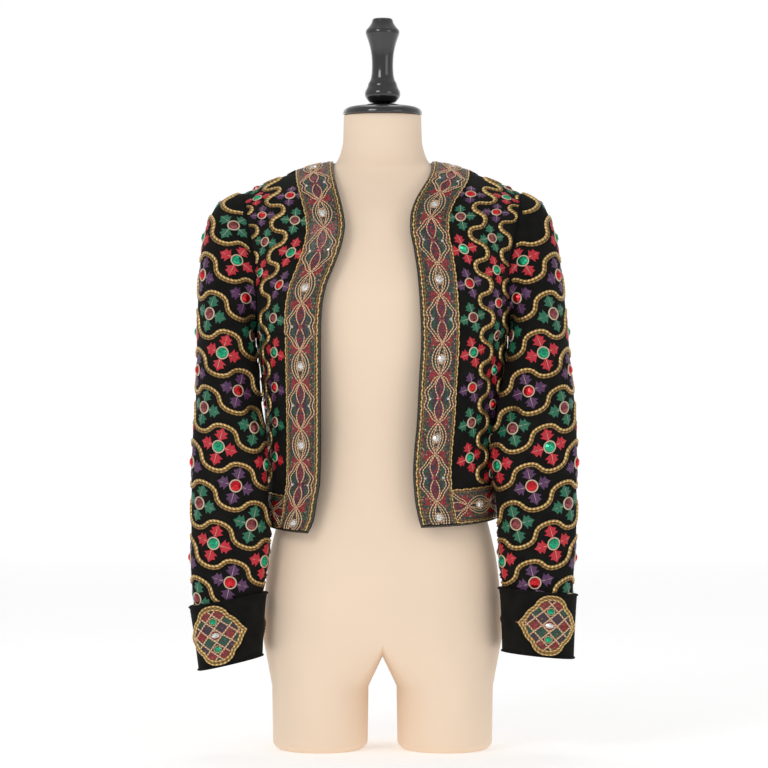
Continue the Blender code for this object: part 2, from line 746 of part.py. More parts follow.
def lattice(cloth, rows, columns):
    """Outline and inner places of a whole piece on the chosen rows and columns of its grid."""

    def spot(row, column):
        return float(cloth.across[row, column]), float(cloth.along[row])

    outline = [spot(rows[0], c) for c in columns]
    outline += [spot(r, columns[-1]) for r in rows[1:]]
    outline += [spot(rows[-1], c) for c in columns[-2::-1]]
    outline += [spot(r, columns[0]) for r in rows[-2:0:-1]]
    inside = [spot(r, c) for r in rows[1:-1] for c in columns[1:-1]]
    return outline, inside


def tube_wall(name, cloth, rows, columns, stones, sizes, colour, collection):
    """A closed tube: an opened wall whose two long edges meet and are sewn together."""
    outer_lift, inner_lift = sizes
    outline, inside = lattice(cloth, rows, columns)
    border = [(a, b, 0.0) for a, b in outline]
    plain = [(a, b, 0.0) for a, b in inside]
    outer = raise_stones(plain, stones)
    count = len(border)
    loop = [(k, (k + 1) % count) for k in range(count)]
    vertices, faces = [], []
    rims = []
    for points, lift in ((border + outer, outer_lift), (border + plain, inner_lift)):
        flat = [Vector((a * TUBE_STRETCH, b)) for a, b, rise in points]
        cut = geometry.delaunay_2d_cdt(flat, loop, [], 1, 1e-7)
        base = len(vertices)
        source = [ids[0] for ids in cut[3]]
        vertices += [cloth.place(points[k][0], points[k][1], lift + points[k][2]) for k in source]
        faces += [[base + k for k in face] for face in cut[2]]
        rims.append({k: base + n for n, k in enumerate(source) if k < count})
    ends = (cloth.along[rows[0]], cloth.along[rows[-1]])
    for a, b in loop:
        if border[a][1] == border[b][1] and border[a][1] in ends:
            faces.append([rims[0][b], rims[0][a], rims[1][a], rims[1][b]])
    return new_object(name, vertices, faces, colour, collection)


def make_fronts(collection):
    clothes = {}
    for side in ("right", "left"):
        cloth = front_cloth(side)
        clothes[side] = cloth
        clear = BAND_WIDTH + 1.5 * STONE_RADIUS

        def on_trellis(across, along, cloth=cloth, clear=clear):
            side_seam = cloth.width_at(along)[1]
            if along < BAND_HEM + 1.4 * STONE_RADIUS or along > cloth.along[-1] - SHOULDER_CLEAR:
                return False
            return clear < across < side_seam - 3 * STONE_RADIUS

        stones = trellis_stones(cloth, "front", on_trellis)
        outline, inside = lattice(cloth, BODY_ROWS, FRONT_COLUMNS)
        wall(f"front_{side}", cloth, outline, inside, stones, (0.0, -WALL), "velvet", collection)
    return clothes


def neck_band_foot(back, out):
    """Distance along the back of the neck band's lower edge, at a distance from the middle."""
    share = min(out / (NECK_HALF + BAND_WIDTH), 1.0)
    return back.along[-1] - NECK_BAND * (1 - share ** 3)


def make_back(collection):
    cloth = back_cloth()

    def on_trellis(across, along):
        low, high = cloth.width_at(along)
        if along < BAND_HEM + 1.4 * STONE_RADIUS:
            return False
        out = abs(cloth.place(across, along)[0])
        if along > neck_band_foot(cloth, max(out - 1.5 * STONE_RADIUS, 0)) - 1.4 * STONE_RADIUS:
            return False
        if along > cloth.along[-1] - SHOULDER_CLEAR:
            return False
        return low + 1.5 * STONE_RADIUS < across < high - 1.5 * STONE_RADIUS

    stones = trellis_stones(cloth, "back", on_trellis)
    outline, inside = lattice(cloth, BODY_ROWS, BACK_COLUMNS)
    wall("back", cloth, outline, inside, stones, (0.0, -WALL), "velvet", collection)
    return cloth


def sleeve_stones(cloth):
    """Places of a sleeve's stones, found on its flat cut and given on its rows."""
    flat = np.array(trellis_stones(cloth, "sleeve", lambda across, along: True, start_low=False))
    rows, columns = find_spots(cloth, flat[:, 0], flat[:, 1])
    below = from_armhole(cloth, columns, flat[:, 1])
    across = value_at(cloth.across, rows, columns)
    along = np.interp(rows, np.arange(len(cloth.along)), cloth.along)
    places = []
    for a, b, under in zip(across, along, below):
        low, high = cloth.width_at(b)
        clear = low + 1.5 * STONE_RADIUS < a < high - 1.5 * STONE_RADIUS
        if clear and under > 2 * STONE_RADIUS and b < cloth.along[-1] - CUFF_HEIGHT - 0.012:
            places.append((a, b))
    return places


def make_sleeves(collection):
    for side in ("right", "left"):
        cloth = sleeve_cloth(side)
        stones = sleeve_stones(cloth)
        tube_wall(f"sleeve_{side}", cloth, SLEEVE_ROWS, ROUND_COLUMNS, stones,
                  (0.0, -WALL), "velvet", collection)


def medallion_outline():
    """Quatrefoil: round lobes above and below, pointed ogee lobes at the sides."""
    places = []
    half_width, half_height = MEDALLION_WIDTH / 2, MEDALLION_HEIGHT / 2
    quarter = (
        (1.00, 0.00),
        (0.84, 0.20),
        (0.74, 0.42),
        (0.60, 0.56),
        (0.52, 0.62),
        (0.44, 0.82),
        (0.24, 0.97),
        (0.00, 1.00),
    )
    for sign_x, sign_y, run in ((1, 1, 1), (-1, 1, -1), (-1, -1, 1), (1, -1, -1)):
        part = quarter[::run]
        for x, y in part[:-1]:
            places.append((x * half_width * sign_x, y * half_height * sign_y))
    return places


def halved(outline):
    """The same closed outline with a place added in the middle of every edge."""
    places = []
    for i, (a, b) in enumerate(outline):
        c, d = outline[(i + 1) % len(outline)]
        places += [(a, b), ((a + c) / 2, (b + d) / 2)]
    return places


def within(outline, a, b):
    """Whether a place lies inside a closed outline."""
    found = False
    for i, (c, d) in enumerate(outline):
        e, f = outline[(i + 1) % len(outline)]
        if (d > b) != (f > b) and a < c + (e - c) * (b - d) / (f - d):
            found = not found
    return found


def make_cuffs(collection):
    for side in ("right", "left"):
        cloth = cuff_cloth(side)
        tube_wall(f"cuff_{side}", cloth, CUFF_ROWS, ROUND_COLUMNS, [], (WALL, 0.0), "velvet", collection)
        for place, across in (("outer", MEDALLION_AT[side]), ("inner", MEDALLION_INNER_AT)):
            middle = CUFF_HEIGHT * 0.50
            outline = [(across + a, middle + b) for a, b in halved(medallion_outline())]
            inner = [(across + a * MEDALLION_INSIDE, middle + b * MEDALLION_INSIDE)
                     for a, b in medallion_outline()]
            inside = []
            for row in range(1, CUFF_STEPS):
                for column in range(0, ROUND, MEDALLION_COLUMNS):
                    a, b = float(cloth.across[row, column]), float(cloth.along[row])
                    if within(inner, a, b):
                        inside.append((a, b))
            low = WALL + MEDALLION_LIFT
            name = f"medallion_{side}_{place}"
            stones = [(across, middle)]
            wall(name, cloth, outline, inside, stones, (low + MEDALLION_WALL, low),
                 "medallion", collection, stretch=1.5)


def band_crystals(first, last, across):
    """Places of the clear crystals along a band, one to each round compartment."""
    count = int((last - first) / CRYSTAL_PITCH)
    return [(across, first + CRYSTAL_PITCH * k) for k in range(count + 1)]


def make_front_band(side, cloth, collection):
    """L-shaped band: up the open edge to the shoulder, and along the hem to the side seam."""
    low = BAND_LIFT
    top = cloth.along[-1]
    ups = [cloth.along[r] for r in BODY_ROWS if cloth.along[r] > BAND_HEM + 0.010]
    overs = [c for c in FRONT_COLUMNS if cloth.column_at(c, BAND_HEM) > BAND_WIDTH + 0.010]
    middle = (BAND_EDGE + BAND_WIDTH) / 2
    half_hem = (BAND_EDGE + BAND_HEM) / 2
    outline = [(BAND_EDGE, b) for b in ups[::-1]] + [(BAND_EDGE, BAND_HEM), (BAND_EDGE, half_hem)]
    outline += [(BAND_EDGE, BAND_EDGE), (middle, BAND_EDGE), (BAND_WIDTH, BAND_EDGE)]
    outline += [(cloth.column_at(c, BAND_EDGE), BAND_EDGE) for c in overs]
    outline += [(cloth.column_at(overs[-1], half_hem), half_hem)]
    outline += [(cloth.column_at(c, BAND_HEM), BAND_HEM) for c in overs[::-1]]
    outline += [(BAND_WIDTH, BAND_HEM)] + [(BAND_WIDTH, b) for b in ups]
    outline += [(middle, top)]
    inside = []
    for r in BODY_ROWS:
        for c in FRONT_COLUMNS[:-1]:
            across, along = float(cloth.across[r, c]), float(cloth.along[r])
            up = BAND_EDGE + INSET < across < BAND_WIDTH - INSET and along < top - INSET
            over = across > BAND_EDGE + INSET and along < BAND_HEM - INSET
            if (up or over) and along > BAND_EDGE + INSET:
                inside.append((across, along))
    stones = band_crystals(BAND_EDGE + 0.030, top - 0.030, middle)
    sizes = (low + BAND_WALL, low)
    wall(f"border_front_{side}", cloth, outline, inside, stones, sizes, "band", collection)


def make_back_bands(back, collection):
    """Band along the back hem, and the band that follows the back neck to the shoulders."""
    sizes = (BAND_LIFT + BAND_WALL, BAND_LIFT)
    columns = BACK_COLUMNS
    middle = (BAND_EDGE + BAND_HEM) / 2
    levels = {b: [back.column_at(c, b) for c in columns] for b in (BAND_EDGE, middle, BAND_HEM)}
    outline = [(a, BAND_EDGE) for a in levels[BAND_EDGE]]
    outline += [(levels[middle][-1], middle)]
    outline += [(a, BAND_HEM) for a in levels[BAND_HEM][::-1]]
    outline += [(levels[middle][0], middle)]
    inside = [(a, middle) for a in levels[middle][1:-1]]
    stones = [(a, middle) for a in levels[middle][2:-2:4]]
    wall("border_back_hem", back, outline, inside, stones, sizes, "band", collection)
    top = back.along[-1]
    near = [c for c in columns if abs(back.points[-1, c, 0]) < NECK_HALF + BAND_WIDTH]
    upper, lower, inside = [], [], []
    for c in near:
        out = abs(back.points[-1, c, 0])
        high = top - (BAND_EDGE if out < NECK_HALF else 0)
        low = neck_band_foot(back, out)
        upper.append((back.column_at(c, high), high))
        lower.append((back.column_at(c, low), low))
        for r in BODY_ROWS:
            if low + NECK_CLEAR < back.along[r] < high - NECK_CLEAR and c not in (near[0], near[-1]):
                inside.append((float(back.across[r, c]), float(back.along[r])))
    outline = upper + lower[::-1]
    sizes = (NECK_LIFT + BAND_WALL, NECK_LIFT)
    wall("border_back_neck", back, outline, inside, [], sizes, "band", collection)


def make_form(collection):
    """The form: two flat-footed stumps that join below the hips, then rings up to the neck."""
    sides = FORM_SIDES
    angles = [2 * math.pi * k / sides for k in range(sides)]
    vertices, faces = [], []

    def ring(height):
        half = float(read(FORM_RINGS, FORM_COLUMNS, "half_width", height))
        front = float(read(FORM_RINGS, FORM_COLUMNS, "front", height))
        back = float(read(FORM_RINGS, FORM_COLUMNS, "back", height))
        square = float(read(FORM_RINGS, FORM_COLUMNS, "square", height))
        made = []
        for a in angles:
            c, s = math.cos(a), math.sin(a)
            x = half * math.copysign(abs(c) ** (2 / square), c)
            depth = front if s < 0 else back
            made.append((x, math.copysign(abs(s) ** (2 / square), s) * depth, height))
        return made

    for height in FORM_HEIGHTS:
        vertices += ring(height)
    for i in range(len(FORM_HEIGHTS) - 1):
        for k in range(sides):
            n = (k + 1) % sides
            faces.append([i * sides + k, i * sides + n, (i + 1) * sides + n, (i + 1) * sides + k])
    top = (len(FORM_HEIGHTS) - 1) * sides
    faces.append([top + k for k in range(sides)])

    quarter, opposite = sides // 4, 3 * sides // 4
    bridge = []
    first = len(vertices)
    for k in range(1, ARCH_SPAN):
        t = k / ARCH_SPAN
        y = vertices[quarter][1] * (1 - t) + vertices[opposite][1] * t
        arch = STUMP_TOP - ARCH_RISE * math.sin(math.pi * t) ** 0.6
        vertices.append((0.0, y, arch))
        bridge.append(first + k - 1)
    for mirror in (1, -1):
        if mirror > 0:
            outside = [(k % sides) for k in range(opposite, opposite + sides // 2 + 1)]
        else:
            outside = [(k % sides) for k in range(opposite, opposite - sides // 2 - 1, -1)]
        loop = outside + bridge
        middle_x = mirror * (STUMP_INNER + STUMP_OUTER) / 2
        radius_x = (STUMP_OUTER - STUMP_INNER) / 2
        middle_y = (STUMP_FOOT_BACK - STUMP_FOOT_FRONT) / 2
        radius_y = (STUMP_FOOT_BACK + STUMP_FOOT_FRONT) / 2
        previous = loop
        for level in STUMP_LEVELS:
            upward = level / STUMP_TOP
            shrink = STUMP_EDGE if level == 0.0 else 0.0
            rx = radius_x * (1 + STUMP_SWELL_SIDE * upward) - shrink
            ry = radius_y * (1 + STUMP_SWELL_FRONT * upward) - shrink
            made = []
            for place in loop:
                x, y, z = vertices[place]
                turn = math.atan2((y - middle_y) / 0.100, (x - middle_x) / 0.075)
                made.append(len(vertices))
                vertices.append((middle_x + rx * math.cos(turn), middle_y + ry * math.sin(turn), level))
            count = len(loop)
            for k in range(count):
                n = (k + 1) % count
                faces.append([previous[k], made[k], made[n], previous[n]])
            previous = made
        faces.append(previous)
    new_object("form_torso", vertices, faces, "calico", collection)


def make_turned(name, profile, colour, collection):
    """A turned piece: its profile, closed on the axis, swept round with a Screw modifier."""
    mesh = bpy.data.meshes.new(name)
    outline = [(0.0, profile[0][1])] + list(profile) + [(0.0, profile[-1][1])]
    mesh.from_pydata([(r, 0, z) for r, z in outline], [(i, i + 1) for i in range(len(outline) - 1)], [])
    item = bpy.data.objects.new(name, mesh)
    collection.objects.link(item)
    screw = item.modifiers.new("turn", "SCREW")
    screw.steps = TURNED_SIDES
    screw.render_steps = TURNED_SIDES
    screw.use_merge_vertices = True
    screw.merge_threshold = 0.0001
    screw.use_normal_calculate = False
    mesh.materials.append(material(colour))
    return item


def main():
    for item in list(bpy.data.objects):
        bpy.data.objects.remove(item)
    collection = bpy.data.collections.new("jacket_on_form")
    bpy.context.scene.collection.children.link(collection)
    make_form(collection)
    make_turned("neck_cap", NECK_CAP_PROFILE, "lacquer", collection)
    make_turned("finial", FINIAL_PROFILE, "lacquer", collection)
    fronts = make_fronts(collection)
    back = make_back(collection)
    make_sleeves(collection)
    make_cuffs(collection)
    for side, cloth in fronts.items():
        make_front_band(side, cloth, collection)
    make_back_bands(back, collection)
    for item in collection.objects:
        item.location = STAND_AT


main()
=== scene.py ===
"""Looks of a short open jacket of embroidered velvet on a limbless dress form.

Metres, +Z up, the open front faces -Y. Everything sewn on the cloth is laid out flat, in places
across and along the cut piece and a lift off it, and is then carried onto the piece's surface.
"""

import math

import bmesh
import bpy
import numpy as np
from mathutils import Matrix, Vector


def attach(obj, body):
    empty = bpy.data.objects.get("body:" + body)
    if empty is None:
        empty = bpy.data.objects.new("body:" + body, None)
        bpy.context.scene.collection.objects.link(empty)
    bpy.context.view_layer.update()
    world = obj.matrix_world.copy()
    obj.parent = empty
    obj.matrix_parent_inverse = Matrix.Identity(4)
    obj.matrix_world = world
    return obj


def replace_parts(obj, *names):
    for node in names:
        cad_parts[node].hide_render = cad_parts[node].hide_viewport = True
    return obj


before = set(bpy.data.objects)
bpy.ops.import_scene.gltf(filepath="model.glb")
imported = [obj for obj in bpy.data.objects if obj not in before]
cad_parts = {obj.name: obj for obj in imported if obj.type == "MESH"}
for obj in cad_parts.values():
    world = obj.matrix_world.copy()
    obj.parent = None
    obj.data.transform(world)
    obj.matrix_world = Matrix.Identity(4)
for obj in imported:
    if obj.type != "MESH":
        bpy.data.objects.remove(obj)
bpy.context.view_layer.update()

bl_info = {
    "name": "Embroidered jacket",
    "version": (1, 0, 0),
    "blender": (4, 5, 0),
    "location": "3D View > Sidebar > Jacket",
    "description": "Builds the looks of an embroidered velvet jacket on its dress form",
    "category": "Object",
}

# Driving sizes of the jacket
WALL = 0.0020
SEAM = 0.0003
SHOULDER_TOP = 0.808
UNDERARM = 0.565
ARMHOLE_TIP = 0.760
ARMHOLE_FRONT = 0.058
ARMHOLE_BACK = 0.064
ARMHOLE_Y = 0.004
NECK_HALF = 0.067
BACK_NECK_DIP = 0.020
CAP_END = 0.530
BODY_EASE = 0.0035
FORM_EASE = 0.013

# Driving sizes of the trimming
BAND_WIDTH = 0.052
BAND_EDGE = 0.004
BAND_HEM = 0.050
NECK_BAND = 0.046
CUFF_HEIGHT = 0.088
CUFF_FLARE = 0.0035
MEDALLION_WIDTH = 0.082
MEDALLION_HEIGHT = 0.082
MEDALLION_AT = {"right": 0.048, "left": 0.053}
MEDALLION_INNER_AT = -0.082

# How finely the surfaces are worked out
BODY_BELOW = 30
BODY_ABOVE = 40
FRONT_COLUMNS = tuple(range(41))
BACK_COLUMNS = tuple(range(97))
ROUND = 80
CAP_ROWS = 32
ARM_ROWS = 48
CUFF_STEPS = 8
LEVEL_STEP = 0.004
STAND_AT = (-0.0016, 0.0043, 0.0)

# Rings of the jacket's body, from below the hem to the shoulder line.
# height is at the middle of the ring, fall is how far its side lies lower,
# turn is the angle in degrees that the arc has turned through at its side.
BODY_COLUMNS = ("height", "fall", "half_width", "front", "back", "turn", "square")
BODY_RINGS = (
    (0.280, 0.000, 0.160, 0.121, 0.113, 90, 2.30),
    (0.350, 0.000, 0.158, 0.119, 0.107, 90, 2.30),
    (0.430, 0.000, 0.160, 0.119, 0.102, 90, 2.30),
    (0.500, 0.000, 0.165, 0.122, 0.104, 90, 2.35),
    (0.565, 0.000, 0.171, 0.126, 0.109, 90, 2.40),
    (0.610, 0.005, 0.171, 0.127, 0.113, 82, 2.40),
    (0.660, 0.010, 0.171, 0.125, 0.115, 74, 2.40),
    (0.710, 0.018, 0.178, 0.117, 0.113, 70, 2.30),
    (0.750, 0.028, 0.184, 0.099, 0.103, 64, 2.20),
    (0.780, 0.038, 0.187, 0.073, 0.084, 56, 2.10),
    (0.797, 0.045, 0.188, 0.043, 0.058, 45, 2.00),
    (0.8035, 0.0468, 0.188, 0.0275, 0.037, 38, 2.00),
    (0.8068, 0.0476, 0.188, 0.0142, 0.019, 33, 2.00),
    (0.8080, 0.0480, 0.188, 0.000, 0.000, 30, 2.00),
)

# Open front edges and hems. across is the edge's distance from the middle.
EDGE_COLUMNS = ("height", "across")
EDGES = {
    "right": (
        (0.290, 0.1030),
        (0.298, 0.1010),
        (0.314, 0.0932),
        (0.342, 0.0885),
        (0.370, 0.0839),
        (0.427, 0.0829),
        (0.557, 0.0829),
        (0.600, 0.0811),
        (0.631, 0.0754),
        (0.659, 0.0642),
        (0.693, 0.0529),
        (0.714, 0.0501),
        (0.734, 0.0529),
        (0.764, 0.0600),
        (0.790, 0.0655),
        (0.808, 0.0670),
    ),
    "left": (
        (0.290, 0.0560),
        (0.307, 0.0520),
        (0.320, 0.0479),
        (0.346, 0.0432),
        (0.380, 0.0410),
        (0.417, 0.0432),
        (0.445, 0.0460),
        (0.501, 0.0487),
        (0.557, 0.0516),
        (0.609, 0.0497),
        (0.644, 0.0469),
        (0.682, 0.0414),
        (0.708, 0.0367),
        (0.725, 0.0372),
        (0.744, 0.0424),
        (0.764, 0.0525),
        (0.781, 0.0615),
        (0.796, 0.0660),
        (0.808, 0.0670),
    ),
}
HEM_AT_EDGE = {"right": 0.2985, "left": 0.3065}
HEM_AT_SIDE = {"right": 0.3090, "left": 0.3190}
HEM_AT_BACK = 0.3090

# Rings of the sleeves below the shoulder cap: outer and inner are distances from the middle.
SLEEVE_COLUMNS = ("height", "outer", "inner", "front", "back")
SLEEVES = {
    "right": (
        (0.530, 0.2535, 0.1690, 0.068, -0.044),
        (0.470, 0.2545, 0.1640, 0.086, -0.014),
        (0.417, 0.2577, 0.1550, 0.095, 0.007),
        (0.360, 0.2583, 0.1550, 0.098, 0.016),
        (0.300, 0.2585, 0.1515, 0.098, 0.022),
        (0.255, 0.2590, 0.1550, 0.097, 0.026),
        (0.210, 0.2560, 0.1625, 0.096, 0.028),
        (0.160, 0.2510, 0.1640, 0.094, 0.028),
        (0.100, 0.2450, 0.1650, 0.092, 0.028),
    ),
    "left": (
        (0.530, 0.2560, 0.1640, 0.072, -0.040),
        (0.470, 0.2610, 0.1530, 0.088, -0.010),
        (0.415, 0.2635, 0.1420, 0.097, 0.009),
        (0.360, 0.2630, 0.1510, 0.098, 0.018),
        (0.300, 0.2620, 0.1560, 0.098, 0.022),
        (0.255, 0.2590, 0.1580, 0.097, 0.026),
        (0.210, 0.2570, 0.1640, 0.096, 0.028),
        (0.160, 0.2565, 0.1640, 0.094, 0.028),
        (0.100, 0.2560, 0.1640, 0.092, 0.028),
    ),
}
CUFF_FOOT = {"right": 0.1215, "left": 0.1325}
CUFF_TILT = {"right": -0.0100, "left": -0.0050}
CAP_REACH = {"right": 0.058, "left": 0.047}
CAP_LEAN = {"right": 0.001, "left": 0.014}

# Largest folds. across and along are places on the piece, depth is inward.
FOLD_COLUMNS = ("across", "along", "width", "length", "lean", "depth")
FOLDS = {
    "sleeve": (
        (0.120, 0.330, 0.014, 0.050, 0.90, 0.0050),
        (0.105, 0.290, 0.012, 0.045, 0.70, 0.0035),
        (-0.110, 0.345, 0.013, 0.055, -0.80, 0.0045),
        (-0.060, 0.240, 0.015, 0.060, -0.40, 0.0030),
        (0.050, 0.440, 0.016, 0.050, 0.50, 0.0025),
    ),
    "front": (
        (0.120, 0.180, 0.016, 0.090, 0.10, 0.0035),
        (0.090, 0.330, 0.018, 0.060, -0.30, 0.0030),
    ),
    "back": (
        (0.090, 0.170, 0.020, 0.110, 0.12, 0.0045),
        (-0.085, 0.190, 0.018, 0.100, -0.10, 0.0040),
        (0.012, 0.130, 0.022, 0.080, 0.00, 0.0030),
        (-0.130, 0.330, 0.018, 0.060, -0.50, 0.0035),
        (0.135, 0.320, 0.018, 0.065, 0.50, 0.0035),
    ),
}

# Trellis of flowers: two steps across and along the cloth, and one flower's place.
TRELLIS_COLUMNS = ("down_across", "down_along", "side_across", "side_along", "across", "height")
TRELLIS = {
    "sleeve": (0.0210, 0.0530, 0.0530, -0.0240, 0.072, 0.541),
    "front": (0.0020, 0.0480, 0.0470, -0.0230, 0.076, 0.541),
    "back": (0.0180, 0.0530, 0.0530, -0.0240, 0.000, 0.541),
}

# Rings of the form's torso: half width, depth to the front and back, squareness.
FORM_COLUMNS = ("height", "half_width", "front", "back", "square")
FORM_RINGS = (
    (0.128, 0.1620, 0.098, 0.112, 2.35),
    (0.150, 0.1632, 0.101, 0.116, 2.30),
    (0.190, 0.1625, 0.103, 0.117, 2.25),
    (0.250, 0.1570, 0.102, 0.108, 2.20),
    (0.310, 0.1440, 0.098, 0.093, 2.15),
    (0.370, 0.1260, 0.092, 0.078, 2.10),
    (0.430, 0.1180, 0.089, 0.071, 2.10),
    (0.490, 0.1250, 0.095, 0.076, 2.15),
    (0.560, 0.1390, 0.108, 0.088, 2.20),
    (0.620, 0.1480, 0.114, 0.097, 2.25),
    (0.680, 0.1560, 0.104, 0.101, 2.25),
    (0.725, 0.1610, 0.088, 0.095, 2.20),
    (0.752, 0.1560, 0.070, 0.080, 2.10),
    (0.769, 0.1430, 0.059, 0.068, 2.05),
    (0.781, 0.1220, 0.050, 0.058, 2.00),
    (0.7895, 0.0980, 0.045, 0.051, 2.00),
    (0.7945, 0.0780, 0.044, 0.048, 2.00),
    (0.800, 0.0650, 0.046, 0.048, 2.00),
    (0.815, 0.0575, 0.049, 0.050, 2.00),
    (0.832, 0.0540, 0.048, 0.049, 2.00),
    (0.866, 0.0530, 0.048, 0.048, 2.00),
)
STUMP_INNER = 0.0205
STUMP_OUTER = 0.1500
STUMP_FOOT_FRONT = 0.074
STUMP_FOOT_BACK = 0.086
STUMP_ROUND = 0.010

# Turned profiles: radius at each height, from the top down.
FINIAL_PROFILE = (
    (0.0100, 1.0000),
    (0.0140, 0.9985),
    (0.0150, 0.9930),
    (0.0195, 0.9870),
    (0.0245, 0.9815),
    (0.0205, 0.9710),
    (0.0172, 0.9600),
    (0.0150, 0.9480),
    (0.0144, 0.9300),
    (0.0160, 0.9160),
    (0.0198, 0.9105),
    (0.0208, 0.9050),
    (0.0245, 0.8990),
    (0.0245, 0.8930),
    (0.0215, 0.8880),
    (0.0165, 0.8828),
)
NECK_CAP_PROFILE = (
    (0.0180, 0.8824),
    (0.0465, 0.8786),
    (0.0530, 0.8745),
    (0.0545, 0.8700),
    (0.0545, 0.8680),
    (0.0535, 0.8666),
)

FABRICS = {}

# Rough size of a sleeve's grid, and how far above the sleeve's foot its trimming ends
SLEEVE_COLUMN = 0.0040
SLEEVE_ROW = 0.0080
FOOT_CLEAR = 0.012

# Wave of the gold cord, in the middle between two rows of flowers: it swings away from a flower of
# one row and then away from the next one of the other row. Widening makes its arches rounder.
CORD_SWING = 0.0100
FRONT_SWING = 0.0115
CORD_WIDEN = 0.045
CORD_POINTS = 20
SHORTEST_CORD = 0.020

# Half outline of a leaf-shaped petal: share of its length from the stone, and of its half width.
PETAL_HALF = (
    (0.00, 0.12),
    (0.16, 0.34),
    (0.36, 1.00),
    (0.44, 0.56),
    (0.66, 0.82),
    (0.74, 0.38),
    (1.00, 0.00),
)

# Colours: base colour, roughness, metallic, share of sheen or coat.
FINISHES = {
    "velvet": ((0.0050, 0.0048, 0.0038), 0.95, 0.0, 0.04),
    "cord_gold": ((0.62, 0.42, 0.17), 0.36, 0.80, 0.0),
    # cord_bronze is a real darker cord on the trellis and in the medallions, and also the painted shadow
    # just inside the bands' rims
    "cord_bronze": ((0.27, 0.165, 0.060), 0.42, 0.80, 0.0),
    "strap_rose": ((0.64, 0.42, 0.26), 0.36, 0.65, 0.0),
    "thread_pale": ((0.66, 0.52, 0.36), 0.45, 0.30, 0.0),
    "silk_red": ((0.50, 0.005, 0.020), 0.42, 0.0, 0.03),
    "silk_green": ((0.003, 0.130, 0.066), 0.42, 0.0, 0.03),
    "silk_purple": ((0.080, 0.018, 0.088), 0.42, 0.0, 0.03),
    "glass_red": ((0.62, 0.006, 0.016), 0.10, 0.70, 0.25),
    "glass_green": ((0.004, 0.330, 0.160), 0.10, 0.70, 0.25),
    "glass_rose": ((0.240, 0.050, 0.055), 0.10, 0.70, 0.25),
    "glass_clear": ((0.80, 0.74, 0.64), 0.05, 0.35, 1.0),
    "bead_red": ((0.36, 0.004, 0.010), 0.22, 0.10, 0.3),
    "bead_green": ((0.003, 0.085, 0.045), 0.22, 0.10, 0.3),
    "bead_purple": ((0.060, 0.012, 0.045), 0.22, 0.15, 0.3),
    "bead_gold": ((0.26, 0.135, 0.050), 0.30, 0.80, 0.0),
    "bead_clear": ((0.40, 0.27, 0.18), 0.20, 0.40, 0.3),
    "bead_dark": ((0.010, 0.012, 0.009), 0.30, 0.10, 0.25),
    "calico": ((0.90, 0.715, 0.545), 0.78, 0.0, 0.05),
    "lacquer": ((0.006, 0.006, 0.007), 0.16, 0.0, 0.8),
    "floor": ((0.90, 0.90, 0.90), 0.90, 0.0, 0.30),
}
FLOWER_COLOURS = (("silk_red", "glass_green"), ("silk_green", "glass_rose"), ("silk_purple", "glass_red"))


class JacketSettings(bpy.types.PropertyGroup):
    """Sizes of what is sewn on the jacket, and of the camera's view."""

    cord_radius: bpy.props.FloatProperty(
        name="Cord radius", description="Radius of the gold cord", default=0.0019, unit="LENGTH")
    bronze_radius: bpy.props.FloatProperty(
        name="Bronze radius", description="Radius of the darker row beside the cord",
        default=0.0015, unit="LENGTH")
    cord_twist: bpy.props.FloatProperty(
        name="Cord twist", description="Length of one turn of the cord", default=0.0030, unit="LENGTH")
    petal_length: bpy.props.FloatProperty(
        name="Petal length", description="Length of a flower's petal", default=0.0185, unit="LENGTH")
    petal_width: bpy.props.FloatProperty(
        name="Petal width", description="Width of a flower's petal", default=0.0200, unit="LENGTH")
    petal_turn: bpy.props.FloatProperty(
        name="Petal turn", description="Turn of a flower's first petal", default=0.30,
        subtype="ANGLE")
    stone_radius: bpy.props.FloatProperty(
        name="Stone radius", description="Radius of a flower's faceted stone", default=0.0068,
        unit="LENGTH")
    stone_rise: bpy.props.FloatProperty(
        name="Stone rise", description="How far a stone stands off the cloth", default=0.0038,
        unit="LENGTH")
    ring_radius: bpy.props.FloatProperty(
        name="Ring radius", description="Radius of the thread round a stone", default=0.0080,
        unit="LENGTH")
    bead_pitch: bpy.props.FloatProperty(
        name="Bead pitch", description="Distance between beads on a band", default=0.0021,
        unit="LENGTH")
    strap_radius: bpy.props.FloatProperty(
        name="Strap radius", description="Radius of a line of strapwork", default=0.0008,
        unit="LENGTH")
    strap_period: bpy.props.FloatProperty(
        name="Strap period", description="Length of one large and one small compartment",
        default=0.107, unit="LENGTH")
    camera_distance: bpy.props.FloatProperty(
        name="Camera distance", description="Distance of the camera from the middle",
        default=4.6, unit="LENGTH")


def read(rows, columns, name, at):
    """One column of a table at the given values of its first column, smoothly in between."""
    keys = np.array([row[0] for row in rows], float)
    values = np.array([row[columns.index(name)] for row in rows], float)
    if keys[0] > keys[-1]:
        keys, values = keys[::-1], values[::-1]
    step = np.diff(keys)
    rise = np.diff(values) / step
    slope = np.zeros_like(values)
    same = rise[:-1] * rise[1:] > 0
    weight = 2 * rise[:-1] * rise[1:]
    slope[1:-1][same] = weight[same] / (rise[:-1] + rise[1:])[same]
    slope[0], slope[-1] = rise[0], rise[-1]
    at = np.clip(np.asarray(at, float), keys[0], keys[-1])
    i = np.clip(np.searchsorted(keys, at, side="right") - 1, 0, len(step) - 1)
    t = (at - keys[i]) / step[i]
    h00 = (1 + 2 * t) * (1 - t) ** 2
    h10 = t * (1 - t) ** 2
    h01 = t * t * (3 - 2 * t)
    h11 = t * t * (t - 1)
    return (h00 * values[i] + h10 * step[i] * slope[i]
            + h01 * values[i + 1] + h11 * step[i] * slope[i + 1])


def armhole_reach(side_height):
    """Share of the armhole's half depth at a height of its edge, from 0 at its ends to 1."""
    middle = (ARMHOLE_TIP + UNDERARM) / 2
    half = (ARMHOLE_TIP - UNDERARM) / 2
    return np.sqrt(np.clip(1 - ((side_height - middle) / half) ** 2, 0, 1))


